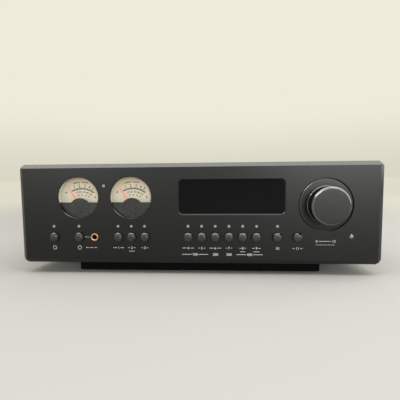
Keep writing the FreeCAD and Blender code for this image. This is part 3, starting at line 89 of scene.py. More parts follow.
def high(node):
    """The highest corner of a node of the frame."""
    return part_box(node)[1]


def middle(node):
    """The middle of a node of the frame."""
    return (low(node) + high(node)) / 2


FACE_Y = low("front_panel").y
BACK_Y = high("rear_panel").y


def on_face(node):
    """A node's middle on the plane of the face, its front and back from there, and its radius."""
    centre = middle(node)
    centre.y = FACE_Y
    return centre, low(node).y - FACE_Y, high(node).y - FACE_Y, (high(node).x - low(node).x) / 2


def solids(node):
    """The points of each separate solid of a node.

    The corners are merged in a copy. Each corner then takes the lowest number among its neighbours
    until none changes, and corners with one number are one solid.
    """
    work = bmesh.new()
    work.from_mesh(NODES[node].data)
    bmesh.ops.remove_doubles(work, verts=work.verts, dist=SAME_CORNER)
    merged = bpy.data.meshes.new("merged")
    work.to_mesh(merged)
    work.free()
    points = np.empty(3 * len(merged.vertices), np.float32)
    merged.vertices.foreach_get("co", points)
    points = points.reshape(-1, 3)
    edges = np.empty(2 * len(merged.edges), np.int32)
    merged.edges.foreach_get("vertices", edges)
    edges = edges.reshape(-1, 2)
    bpy.data.meshes.remove(merged)
    label, before = np.arange(len(points)), None
    while before is None or (label != before).any():
        before, lowest = label, label[edges].min(axis=1)
        label = before.copy()
        np.minimum.at(label, edges[:, 0], lowest)
        np.minimum.at(label, edges[:, 1], lowest)
    return [points[label == solid] for solid in np.unique(label)]


def span(points):
    """The lowest and the highest corner of a set of points, and its middle."""
    lowest, highest = points.min(axis=0), points.max(axis=0)
    return lowest, highest, (lowest + highest) / 2


def spans(node):
    """The lowest corner, the highest corner and the middle of each separate solid of a node."""
    return [span(points) for points in solids(node)]


# Settings

def colour_setting(name, description, *default):
    """A colour that a user may change."""
    return FloatVectorProperty(
        name=name, description=description, subtype="COLOR", soft_max=2.0, default=default)


def place_setting(name, description, *default):
    """A point that a user may change."""
    return FloatVectorProperty(
        name=name, description=description, subtype="TRANSLATION", unit="LENGTH", default=default)


def length_setting(name, description, default):
    """A length that a user may change."""
    return FloatProperty(name=name, description=description, unit="LENGTH", default=default)


class CameraSettings(bpy.types.PropertyGroup):
    """Where the picture is taken from."""

    place: place_setting("Place", "Where the camera stands", 0.01964, -0.43145, 0.08748)
    turn: FloatVectorProperty(
        name="Turn", description="The camera's turn about X, Y and Z", subtype="EULER", unit="ROTATION",
        default=(math.radians(85.625), math.radians(0.532), math.radians(3.424)))
    lens: FloatProperty(
        name="Lens", description="Focal length on a sensor 36 mm wide", unit="CAMERA", default=27.0)


# Each lamp's middle, its length and width, its power, and where it stands.
LAMPS = {
    "front_strip": ((0.0, -0.53, 1.0), (2.4, 0.15), 11.0, "over the front"),
    "upper_strip": ((0.12, -0.17, 1.0), (1.3, 0.3), 4.2, "over the knob"),
    "window_lamp": ((0.0, -3.0, 0.62), (4.4, 0.93), 28.5, "in front"),
    "left_lamp": ((-1.7, -2.9, 0.62), (1.5, 0.93), 12.0, "in front, at the left"),
    "right_lamp": ((1.35, -2.9, 0.58), (1.5, 0.93), 38.0, "in front, at the right"),
    "side_lamp": ((1.15, 0.05, 0.65), (0.9, 1.25), 8.5, "beside the case"),
}


class StageSettings(bpy.types.PropertyGroup):
    """The floor, the even light from all round and the lamps."""

    floor_colour: colour_setting("Floor", "Colour of the floor", 0.36, 0.352, 0.33)
    far_floor_colour: colour_setting("Far floor", "Colour of the floor far away", 0.70, 0.68, 0.60)
    floor_radius: length_setting("Floor radius", "Radius of the round floor", 12.0)
    fade_start: length_setting("Fade start", "Distance at which the floor starts to turn lighter", 0.35)
    fade_end: length_setting("Fade end", "Distance at which the floor meets the horizon's colour", 1.4)
    backdrop_colour: colour_setting("Backdrop", "Light from behind the object", 0.86, 0.83, 0.70)
    horizon_colour: colour_setting("Horizon", "Light from all round, near the floor", 0.70, 0.68, 0.56)
    ceiling_colour: colour_setting("Ceiling", "Light from overhead", 1.05, 1.05, 1.0)
    room_colour: colour_setting("Room", "Light from in front of the object", 0.60, 0.595, 0.55)


for key, (spot, extent, watts, where) in LAMPS.items():
    title = key.replace("_", " ").capitalize()
    StageSettings.__annotations__.update({
        f"{key}_place": place_setting(title, f"Middle of the lamp {where}", *spot),
        f"{key}_size": FloatVectorProperty(
            name=f"{title} size", description=f"Length and width of the lamp {where}", size=2,
            unit="LENGTH", default=extent),
        f"{key}_power": FloatProperty(
            name=f"{title} power", description=f"Power of the lamp {where}", unit="POWER", default=watts),
    })


class FinishSettings(bpy.types.PropertyGroup):
    """Colours of the finishes."""

    case: colour_setting("Case", "Anodised aluminium of the case", 0.0198, 0.0200, 0.0195)
    cut: colour_setting("Cut edges", "Bevels cut in the front after blasting", 0.033, 0.0333, 0.0326)
    knob: colour_setting("Knob", "Anodised aluminium of the knob", 0.026, 0.0262, 0.0258)
    knob_edge: colour_setting("Knob edge", "Bevel cut round the knob's face", 0.145, 0.145, 0.141)
    button: colour_setting("Buttons", "Turned metal of the buttons", 0.054, 0.0543, 0.0535)
    dial: colour_setting("Dial", "Card of the meter dials", 0.58, 0.55, 0.43)
    front_print: colour_setting("Print", "Printed marks on the front", 0.38, 0.38, 0.375)
    dial_print: colour_setting("Dial print", "Numbers and scale of the dials", 0.020, 0.016, 0.012)
    needle: colour_setting("Needle", "Lacquer of the needles", 0.95, 0.26, 0.21)


class PrintSettings(bpy.types.PropertyGroup):
    """Sizes of the printed marks."""

    ink: length_setting("Ink", "Thickness of the printed ink", 0.04 * MM)
    digit_height: length_setting("Digits", "Height of the numbers on the front", 2.3 * MM)
    line: length_setting("Line", "Width of the lines on the front", 0.45 * MM)
    caption_drop: length_setting("Caption drop", "From a button's middle down to its number", 9.6 * MM)
    group_drop: length_setting("Group drop", "From a button down to the number of its group", 15.3 * MM)
    ring_radius: length_setting("Ring", "Radius of the rings under the first buttons", 1.6 * MM)
    dial_digit_height: length_setting("Dial digits", "Height of the numbers on the dials", 2.6 * MM)
    scale_radius: length_setting("Scale radius", "From a needle's pivot to the dial's scale", 18.4 * MM)
    scale_line: length_setting("Scale line", "Width of the dial's scale", 0.8 * MM)


class ShapeSettings(bpy.types.PropertyGroup):
    """Sizes of the pieces that are made here."""

    turning_steps: IntProperty(
        name="Turning steps", description="Steps round a turned piece", default=96, min=12)
    corner_round: length_setting("Corner round", "Radius of a broken edge", 0.25 * MM)
    button_radius: length_setting("Button radius", "Radius of a button's head", 4.3 * MM)
    button_stem: length_setting("Button stem", "Radius of a button's stem", 1.7 * MM)
    flange_front: length_setting("Flange front", "Depth of a button's flange behind the face", 3.0 * MM)
    flange_thickness: length_setting("Flange thickness", "Thickness of a button's flange", 1.0 * MM)
    knob_bevel: length_setting("Knob bevel", "Leg of the bevel round the knob's face", 1.4 * MM)
    knob_lip: length_setting("Knob lip", "Leg of the bevel round the knob's foot", 0.5 * MM)
    surround_bevel: length_setting("Surround bevel", "Leg of the bevel of the disc round the knob", 0.6 * MM)
    pivot_drop: length_setting("Pivot drop", "From a meter's middle down to its needle's pivot", 10.9 * MM)


# Surfaces

def surface(points, faces, material=0, marks=None):
    """A mesh from arrays of points and of faces with four corners, with numbers kept at its points."""
    mesh = bpy.data.meshes.new("surface")
    mesh.from_pydata(points.tolist(), [], faces.tolist())
    mesh.polygons.foreach_set("material_index", np.full(len(faces), material, np.int32))
    for key, values in (marks or {}).items():
        attribute = mesh.attributes.new(key, "FLOAT", "POINT")
        attribute.data.foreach_set("value", values.astype(np.float32))
    return mesh


def piece(name, meshes, materials):
    """A new object at the origin from one or more meshes.

    Corners that fall on one place are merged, so poles and seams close, and the normals point out.
    """
    work = bmesh.new()
    for mesh in meshes:
        work.from_mesh(mesh)
        bpy.data.meshes.remove(mesh)
    bmesh.ops.remove_doubles(work, verts=work.verts, dist=SAME_POINT)
    bmesh.ops.recalc_face_normals(work, faces=work.faces)
    whole = bpy.data.meshes.new(name)
    work.to_mesh(whole)
    work.free()
    for material in materials:
        whole.materials.append(material)
    whole.shade_smooth()
    whole.set_sharp_from_angle(angle=SHARP_ANGLE)
    thing = bpy.data.objects.new(name, whole)
    bpy.context.scene.collection.objects.link(thing)
    return thing


def make(name, meshes, finishes, body, slot, *nodes):
    """A piece with its finishes that rides on its body and stands for nodes. The slot is not used."""
    thing = piece(name, meshes, [FINISHES[finish] for finish in finishes.split()])
    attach(thing, body)
    if nodes:
        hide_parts(*nodes)


def grid_faces(rows, columns):
    """Corner numbers of the faces of a grid of rows by columns, whose last column joins the first."""
    row, column = np.meshgrid(np.arange(rows - 1), np.arange(columns), indexing="ij")
    following = (column + 1) % columns
    corners = [row * columns + column, row * columns + following,
               (row + 1) * columns + following, (row + 1) * columns + column]
    return np.stack(corners, axis=-1).reshape(-1, 4)


def softened(corners, radius, steps=5):
    """A profile with each inner corner rounded.

    An arc of the radius touches both sides of the corner: it starts radius times the tangent of
    half the turn before the corner, and is limited to four tenths of the shorter side.
    """
    corners = np.asarray(corners, float)
    parts = [corners[:1]]
    for before, corner, after in zip(corners[:-2], corners[1:-1], corners[2:]):
        come, go = corner - before, after - corner
        sides = np.linalg.norm(come), np.linalg.norm(go)
        come, go = come / sides[0], go / sides[1]
        half_turn = math.acos(np.clip(come @ go, -1, 1)) / 2
        if half_turn < SLIGHT_TURN:
            parts.append(corner[None])
            continue
        reach = min(radius * math.tan(half_turn), 0.4 * min(sides))
        inward = (go - come) / np.linalg.norm(go - come)
        centre = corner + inward * reach / math.sin(half_turn)
        start, finish = corner - come * reach - centre, corner + go * reach - centre
        share, whole = np.linspace(0, 1, steps)[:, None], 2 * half_turn
        ring = (np.sin((1 - share) * whole) * start + np.sin(share * whole) * finish) / math.sin(whole)
        parts.append(centre + ring)
    return np.concatenate([*parts, corners[-1:]])


def facing(*way):
    """The turn that takes the line along Y to another direction."""
    return np.array(Vector((0, 1, 0)).rotation_difference(Vector(way)).to_matrix())


def ring_profile(start, finish, inner, outer):
    """Profile of a square ring between two depths and two radii, closed on itself."""
    return [(start, inner), (finish, inner), (finish, outer), (start, outer), (start, inner)]


def turned(profile, centre, steps=None, turn=ALONG_Y):
    """A turned surface on a line through the centre, along Y unless it is turned.

    A row of the profile holds depth and radius, and may hold a share of hexagon. A point at angle t
    lies at x = radius times sin t and z = radius times cos t. With a share of 1 the radius is that
    of a hexagon's corner, and at angle t it shrinks to cos 30 / cos(t mod 60 - 30) of it. Each point
    keeps its radius and depth for the finish.
    """
    steps = steps or bpy.context.scene.preamp_shape.turning_steps
    rows = [(*row, 0.0) if len(row) == 2 else row for row in profile]
    depth, radius, share = (column[:, None] for column in np.array(rows, float).T)
    angle = np.arange(steps) * 2 * math.pi / steps
    sixth = math.pi / 3
    flats = math.cos(sixth / 2) / np.cos(angle % sixth - sixth / 2)
    reach = radius * (1 - share + share * flats)
    local = np.stack([reach * np.sin(angle), depth + 0 * angle, reach * np.cos(angle)], axis=-1)
    points = np.array(centre) + local.reshape(-1, 3) @ turn.T
    marks = {"turn_radius": reach.reshape(-1), "turn_depth": local[..., 1].reshape(-1)}
    return surface(points, grid_faces(len(rows), steps), 0, marks)


def ribbon(path, width, thickness, normal, material=0):
    """A flat strip carried along a path.

    Its section is a rectangle: half the width either way across the path, and the thickness from
    the path along the normal. The width may be one for each point. The ends are closed.
    """
    path = np.asarray(path, float)
    across = np.cross(np.gradient(path, axis=0), normal)
    across = across / np.linalg.norm(across, axis=1, keepdims=True) * np.reshape(width, (-1, 1)) / 2
    raised = np.asarray(normal) * thickness
    points = np.stack([path - across, path + across, path + across + raised, path - across + raised], 1)
    last = 4 * (len(path) - 1)
    ends = np.array([[0, 1, 2, 3], [last + 3, last + 2, last + 1, last]])
    faces = np.concatenate([grid_faces(len(path), 4), ends])
    return surface(points.reshape(-1, 3), faces, material)


def inked(path, width, material=0):
    """A printed line along a path."""
    return ribbon(path, width, bpy.context.scene.preamp_print.ink, TOWARDS_VIEWER, material)


def arc(centre, radius, start, finish, steps=48):
    """Points of an arc that faces the viewer, by its angles in degrees clockwise from straight up."""
    angle = np.radians(np.linspace(start, finish, steps))[:, None]
    return np.array(centre) + radius * (np.sin(angle) * (1, 0, 0) + np.cos(angle) * (0, 0, 1))


def number(text, height, place, angle=0.0):
    """Printed digits of a height that face the viewer, turned clockwise about their middle by degrees."""
    size, ink_depth = height / DIGIT_HEIGHT, bpy.context.scene.preamp_print.ink
    curve = bpy.data.curves.new("number", "FONT")
    curve.body = text
    curve.size = size
    curve.align_x = curve.align_y = "CENTER"
    curve.extrude = ink_depth / 2
    curve.offset = DIGIT_BOLDNESS * size
    curve.resolution_u = 4
    holder = bpy.data.objects.new("number", curve)
    mesh = bpy.data.meshes.new_from_object(holder)
    bpy.data.objects.remove(holder)
    bpy.data.curves.remove(curve)
    lowered = Matrix.Translation((0, -DIGIT_MIDDLE * size, ink_depth / 2))
    upright = Matrix.Rotation(math.pi / 2, 4, "X")
    leaning = Matrix.Rotation(math.radians(angle), 4, "Y")
    mesh.transform(Matrix.Translation(place) @ leaning @ upright @ lowered)
    return mesh


def dome(tip, rim, steps):
    """Profile of a round cap from its tip on the axis to its rim.

    The cap is an arc of a circle with its centre on the axis: radius = (rim squared + height
    squared) / twice the height.
    """
    height = rim[0] - tip
    radius = (rim[1] ** 2 + height ** 2) / (2 * height)
    angle = np.linspace(0, math.asin(min(1.0, rim[1] / radius)), steps)
    return np.stack([tip + radius * (1 - np.cos(angle)), radius * np.sin(angle)], axis=-1)


# Finishes

def maths(operation, reflected=False):
    """An operator that adds a Math node for two numbers, of which the second may come first."""
    def operate(wire, other):
        first, second = (other, wire) if reflected else (wire, other)
        return wire.finish.add("ShaderNodeMath", {"operation": operation}, {0: first, 1: second})
    return operate


class Wire:
    """A socket of a finish. Arithmetic on it adds Math nodes, and either() gives the larger number."""

    def __init__(self, finish, socket):
        self.finish = finish
        self.socket = socket

    __add__ = __radd__ = maths("ADD")
    __sub__ = maths("SUBTRACT")
    __rsub__ = maths("SUBTRACT", reflected=True)
    __mul__ = __rmul__ = maths("MULTIPLY")
    __gt__ = maths("GREATER_THAN")
    __lt__ = maths("LESS_THAN")
    either = maths("MAXIMUM")


class Nodes:
    """A node tree that is written as expressions."""

    def __init__(self, tree):
        self.tree = tree

    def feed(self, socket, value):
        """Link a wire to a socket, or set the socket's own value."""
        if isinstance(value, Wire):
            self.tree.links.new(value.socket, socket)
        elif socket.type == "RGBA":
            socket.default_value = (*value, 1.0)
        else:
            socket.default_value = value

    def add(self, kind, settings=None, inputs=None, output=0):
        """Add a node of a kind, with its settings first and then its inputs, and give one output."""
        node = self.tree.nodes.new(kind)
        for name, value in (settings or {}).items():
            setattr(node, name, value)
        for key, value in (inputs or {}).items():
            self.feed(node.inputs[key], value)
        return Wire(self, node.outputs[output])

    def parts(self, vector):
        """The three coordinates of a vector."""
        split = self.add("ShaderNodeSeparateXYZ", inputs={0: vector}).socket.node
        return [Wire(self, socket) for socket in split.outputs]

    def between(self, first, second, share, blend="MIX"):
        """A colour that goes from the first to the second with the share."""
        return self.add("ShaderNodeMix", {"data_type": "RGBA", "blend_type": blend}, {
            0: share, 6: first, 7: second}, 2)

    def rise(self, value, start, finish):
        """A share that rises smoothly from 0 at the start to 1 at the finish."""
        return self.add("ShaderNodeMapRange", {"interpolation_type": "SMOOTHSTEP"}, {
            "Value": value, "From Min": start, "From Max": finish})


class Finish(Nodes):
    """A material whose nodes are written as expressions. FINISHES keeps it under its name."""

    def __init__(self, name, **constants):
        self.material = FINISHES[name] = bpy.data.materials.new(name)
        self.material.use_nodes = True
        super().__init__(self.material.node_tree)
        self.put(**constants)

    def put(self, **values):
        """Give the shader's sockets a value or a wire. Underscores stand for spaces."""
        for name, value in values.items():
            self.feed(self.tree.nodes["Principled BSDF"].inputs[name.replace("_", " ")], value)

    def dress(self, colour, roughness, height, depth, strength):
        """Give the shader a colour, a roughness, and bumps that follow a height, of a depth."""
        self.put(Base_Color=colour, Roughness=roughness, Normal=self.add("ShaderNodeBump", inputs={
            "Height": height, "Distance": depth, "Strength": strength}))

    def place(self):
        """The point of the object, in metres."""
        return self.add("ShaderNodeTexCoord", output="Object")

    def mark(self, name):
        """A number that the mesh keeps at each point."""
        return self.add("ShaderNodeAttribute", {"attribute_name": name}, output="Fac")

    def noise(self, size, detail=2.0, roughness=0.5, stretch=(1, 1, 1)):
        """Cloudy noise whose lumps have a size in metres, stretched along the axes."""
        scale = tuple(1 / length for length in stretch)
        spread = self.add("ShaderNodeMapping", inputs={"Vector": self.place(), "Scale": scale})
        return self.add("ShaderNodeTexNoise", inputs={
            "Vector": spread, "Scale": 1 / size, "Detail": detail, "Roughness": roughness})

    def shades(self, colour, dark, light, share):
        """A colour that varies between a darker and a lighter shade of itself."""
        darker = [part * dark for part in colour]
        return self.between(darker, [min(1.0, part * light) for part in colour], share)


def anodised(name, colour, roughness, cut_colour=None, cut_depth=0.0):
    """Fine-blasted and anodised aluminium: tiny pits, and faint clouds of the dye.

    Where the cutter went below the face, down to the cut depth, the metal has a brighter shade.
    """
    finish = Finish(name, Metallic=0.9, IOR=1.5)
    blast = finish.noise(0.4 * MM, 3, 0.6)
    shade = finish.shades(colour, 0.92, 1.08, finish.noise(90 * MM) * 0.5 + blast * 0.5)
    rough = blast * 0.10 + (roughness - 0.05)
    if cut_depth:
        y = finish.parts(finish.place())[1]
        cut = (y > FACE_Y + 0.03 * MM) * (y < FACE_Y + cut_depth)
        shade = finish.between(shade, finish.shades(cut_colour, 0.94, 1.06, blast), cut)
        rough = rough - cut * 0.16
    finish.dress(shade, rough, blast, 0.02 * MM, 0.3)


def spun(name, colour, roughness, groove, cut=None):
    """Turned metal: fine rings left by the tool, read from each point's own radius.

    A cut is a colour, the depth and radius between which the edge was cut brighter, and the radius
    of a lip that is cut too.
    """
    finish = Finish(name, Metallic=0.9, IOR=1.5)
    radius, depth = finish.mark("turn_radius"), finish.mark("turn_depth")
    ring = finish.add("ShaderNodeTexNoise", {"noise_dimensions": "1D"}, {
        "W": (radius + depth) * (1 / groove), "Scale": 1.0, "Detail": 2.0})
    shade = finish.shades(colour, 0.9, 1.1, ring * 0.7 + finish.noise(10 * MM) * 0.3)
    rough = ring * 0.12 + (roughness - 0.06)
    if cut:
        cut_colour, deepest, narrowest, lip = cut
        edge = ((depth < deepest) * (radius > narrowest)).either(radius > lip)
        shade = finish.between(shade, finish.shades(cut_colour, 0.95, 1.05, ring), edge)
        rough = rough - edge * 0.12
    finish.dress(shade, rough, ring, 0.02 * MM, 0.3)


def sheet_steel(name, colour, roughness=0.38):
    """Zinc-plated sheet: pale crystals with slightly different shades, and rolling lines along Y."""
    finish = Finish(name, Metallic=0.9)
    crystal = finish.add("ShaderNodeTexVoronoi", inputs={
        "Vector": finish.place(), "Scale": 120.0}, output="Color")
    share = finish.add("ShaderNodeSeparateColor", inputs={0: crystal})
    lines = finish.noise(0.6 * MM, stretch=(1, 40, 1))
    shade = finish.shades(colour, 0.86, 1.1, share * 0.6 + lines * 0.4)
    finish.dress(shade, share * 0.16 + (roughness - 0.08), lines, 0.02 * MM, 0.4)


def brushed(name, colour, roughness=0.3, along=(1, 30, 1)):
    """Plated metal with fine brush lines."""
    finish = Finish(name, Metallic=1.0)
    lines = finish.noise(0.3 * MM, 3, stretch=along)
    shade = finish.shades(colour, 0.85, 1.1, lines * 0.6 + finish.noise(15 * MM) * 0.4)
    finish.dress(shade, lines * 0.2 + (roughness - 0.1), lines, 0.01 * MM, 0.5)


def coated(name, colour, roughness):
    """Powder coat: matt colour with the soft lumps of the cured powder."""
    finish = Finish(name, IOR=1.5, Specular_IOR_Level=0.04)
    lumps = finish.noise(0.9 * MM)
    shade = finish.shades(colour, 0.8, 1.3, finish.noise(30 * MM, 4))
    finish.dress(shade, lumps * 0.15 + (roughness - 0.07), lumps, 0.04 * MM, 0.6)


def moulded(name, colour, roughness=0.55):
    """Moulded plastic: fine spark-eroded grain and a faint cloud of flow."""
    finish = Finish(name, IOR=1.46)
    grain = finish.noise(0.25 * MM, 3)
    shade = finish.shades(colour, 0.85, 1.2, finish.noise(12 * MM, 3, stretch=(1, 1, 3)))
    finish.dress(shade, grain * 0.16 + (roughness - 0.08), grain, 0.02 * MM, 0.5)


def polished(name, colour, roughness, ior):
    """Polished plastic or glass in one deep colour, with the faintest waves and dust."""
    finish = Finish(name, IOR=ior)
    wave, dust = finish.noise(30 * MM, 1), finish.noise(0.6 * MM, 4, 0.7)
    finish.dress(finish.shades(colour, 0.8, 1.4, wave), dust * 0.04 + roughness, wave, 0.03 * MM, 0.3)


def clear_glass(name):
    """A thin clear disc: it shows only its reflection, which grows towards grazing angles."""
    finish = Finish(name, Metallic=1.0, Base_Color=(0.95, 0.97, 1.0))
    smear = finish.noise(12 * MM, 4)
    reflection = finish.add("ShaderNodeFresnel", inputs={"IOR": 1.45})
    finish.put(Alpha=reflection * 0.30 + smear * 0.01, Roughness=smear * 0.05 + 0.01)
    finish.material.surface_render_method = "BLENDED"


def frosted(name, colour):
    """A frosted clear rod."""
    finish = Finish(name, IOR=1.49)
    frost = finish.noise(0.2 * MM, 3)
    shade = finish.shades(colour, 0.85, 1.15, finish.noise(2 * MM))
    finish.dress(shade, frost * 0.2 + 0.3, frost, 0.02 * MM, 0.4)


def card(name, colour, centre):
    """Printed card: warm colour, darker and browner from a little above the middle up to the top, with a
    fine paper grain.
    """
    finish = Finish(name, IOR=1.4, Specular_IOR_Level=0.3)
    grain = finish.noise(0.35 * MM, 4)
    paper = finish.shades(colour, 0.94, 1.05, grain * 0.5 + finish.noise(10 * MM, 3) * 0.5)
    brown = [part * share for part, share in zip(colour, (0.70, 0.62, 0.52))]
    height = finish.rise(finish.parts(finish.place())[2], centre.z + 4 * MM, centre.z + 21 * MM)
    finish.dress(finish.between(paper, brown, height), grain * 0.12 + 0.58, grain, 0.01 * MM, 0.5)


def socket_body(name, mouths, pins):
    """A socket: a plated shell, a moulded inside within each round mouth, and plated pins.

    A mouth or pin is its middle, its radius and the depth from which it counts.
    """
    finish = Finish(name, IOR=1.5)
    x, y, z = finish.parts(finish.place())
    grain = finish.noise(0.3 * MM, 3, stretch=(12, 1, 1))

    def within(rounds):
        share = None
        for centre, radius, depth in rounds:
            across, up = x - float(centre[0]), z - float(centre[2])
            inside = (across * across + up * up < radius ** 2) * (y < depth)
            share = share.either(inside) if share else inside
        return share

    plate = finish.shades((0.30, 0.30, 0.295), 0.85, 1.1, grain)
    moulding = finish.shades((0.012, 0.012, 0.012), 0.85, 1.2, grain)
    inside = within(mouths)
    colour, metal = finish.between(plate, moulding, inside), 1 - inside
    if pins:
        pin = within(pins)
        colour = finish.between(colour, finish.shades((0.62, 0.60, 0.55), 0.9, 1.1, grain), pin)
        metal = metal.either(pin)
    finish.put(Metallic=metal)
    finish.dress(colour, grain * 0.15 + 0.3 - metal * 0.08, grain, 0.01 * MM, 0.4)


def ink(name, colour, roughness=0.5):
    """Screen-printed ink: nearly even, with thin places."""
    finish = Finish(name, IOR=1.45)
    thin = finish.noise(0.3 * MM, 3)
    finish.put(Base_Color=finish.shades(colour, 0.85, 1.1, thin), Roughness=thin * 0.1 + roughness)


def circuit(name, colour):
    """A circuit board: solder mask with straight tracks that show through, and bright pads."""
    finish = Finish(name, IOR=1.5)
    tracks = finish.add("ShaderNodeTexBrick", {"offset": 0.37, "squash": 1.0}, {
        "Vector": finish.place(), "Scale": 190.0, "Mortar Size": 0.035, "Mortar Smooth": 0.2,
        "Brick Width": 1.4, "Row Height": 0.3}, output="Fac")
    cloud = finish.noise(20 * MM)
    shade = finish.shades(colour, 0.8, 1.9, tracks * 0.6 + cloud * 0.4)
    finish.dress(shade, cloud * 0.1 + 0.28, tracks, 0.03 * MM, 0.6)


def wound(name, colour, centre):
    """A wound core wrapped in tape: 46 overlapping turns across the ring."""
    finish = Finish(name, IOR=1.5)
    local = finish.add("ShaderNodeMapping", inputs={"Vector": finish.place(), "Location": -centre})
    turns = finish.add("ShaderNodeTexGradient", {"gradient_type": "RADIAL"}, {0: local})
    lap = finish.add("ShaderNodeMath", {"operation": "FRACT"}, {0: turns * 46.0})
    finish.dress(finish.shades(colour, 0.6, 1.8, lap), lap * 0.2 + 0.3, lap, 0.4 * MM, 0.8)


def floor_finish(stage):
    """Pale floor that turns lighter away from the object.

    Out there the camera and mirrors see the horizon's colour in its place, so that both meet.
    """
    finish = Finish("pale_floor", Roughness=0.9, Specular_IOR_Level=0.1, Emission_Strength=1.0)
    rays = finish.add("ShaderNodeLightPath").socket.node.outputs
    seen = sum(Wire(finish, rays[f"Is {kind} Ray"]) for kind in ("Camera", "Glossy", "Transmission"))
    x, y, _ = finish.parts(finish.place())
    distance = finish.add("ShaderNodeMath", {"operation": "SQRT"}, {0: x * x + y * y})
    far = finish.rise(distance, stage.fade_start, stage.fade_end)
    faded = far * (seen > 0.5)
    colour = finish.between(stage.floor_colour, stage.far_floor_colour, far)
    shade = finish.between((0.985, 0.985, 0.985), (1, 1, 1), finish.noise(0.4))
    finish.put(
        Base_Color=finish.between(finish.between(colour, BLACK, faded), shade, 1.0, "MULTIPLY"),
        Emission_Color=finish.between(BLACK, stage.horizon_colour, faded))


# Operators

class PREAMP_OT_stage(bpy.types.Operator):
    """Make the camera, the floor with its backdrop, and the lights"""

    bl_idname = "preamp.stage"
    bl_label = "Stage"

    floor_steps = 96
    floor_growth = 1.5
    lamp_aim = Vector((0, FACE_Y, 0.07))

    def execute(self, context):
        scene, view, stage = context.scene, context.scene.preamp_camera, context.scene.preamp_stage
        camera_data = bpy.data.cameras.new("photo_camera")
        camera_data.lens = view.lens
        camera_data.sensor_width = 36.0
        camera_data.clip_start = 0.01
        camera = bpy.data.objects.new("photo_camera", camera_data)
        camera.location = view.place
        camera.rotation_euler = Euler(view.turn)
        scene.collection.objects.link(camera)
        scene.camera = camera
        scene.view_settings.view_transform = "Standard"
        self.add_floor(stage)
        self.add_world(stage)
        for name in LAMPS:
            self.add_lamp(name, *(getattr(stage, f"{name}_{part}") for part in ("place", "size", "power")))
        return {"FINISHED"}

    def add_floor(self, stage):
        """A round floor: its points lie on rings whose radius grows as a power of 1.5 up to the edge."""
        rings = stage.floor_radius * self.floor_growth ** np.arange(-12.0, 1.0)
        rings = np.concatenate([[0.0], rings])[:, None]
        angle = np.arange(self.floor_steps) * 2 * math.pi / self.floor_steps
        points = np.stack([rings * np.cos(angle), rings * np.sin(angle), 0 * rings * angle], axis=-1)
        disc = surface(points.reshape(-1, 3), grid_faces(len(rings), self.floor_steps))
        floor_finish(stage)
        floor = piece("pale_floor", [disc], [FINISHES["pale_floor"]])
        if floor.data.polygons[0].normal.z < 0:
            floor.data.flip_normals()

    def add_world(self, stage):
        """Even light whose colour goes from the room in front to the backdrop behind."""
        world = bpy.data.worlds.new("studio_light")
        world.use_nodes = True
        bpy.context.scene.world = world
        light = Nodes(world.node_tree)
        _, behind, above = light.parts(light.add("ShaderNodeTexCoord", output="Generated"))
        walls = light.between(stage.room_colour, stage.backdrop_colour, light.rise(behind, -0.25, 0.5))
        walls = light.between(stage.horizon_colour, walls, light.rise(above, 0.0, 0.22))
        colour = light.between(walls, stage.ceiling_colour, light.rise(above, 0.5, 0.95))
        light.feed(world.node_tree.nodes["Background"].inputs["Color"], colour)

    def add_lamp(self, name, place, size, power):
        """A soft rectangular lamp that looks at the front of the case. Overhead its length is along X."""
        lamp_data = bpy.data.lights.new(name, "AREA")
        lamp_data.shape = "RECTANGLE"
        lamp_data.size, lamp_data.size_y = size
        lamp_data.energy = power
        lamp = bpy.data.objects.new(name, lamp_data)
        lamp.location = place
        lamp.visible_camera = False
        way = Vector(place) - self.lamp_aim
        if place[2] > math.hypot(place[0], place[1]):
            way.x = 0
        lamp.rotation_euler = way.to_track_quat("Z", "Y").to_euler()
        bpy.context.scene.collection.objects.link(lamp)


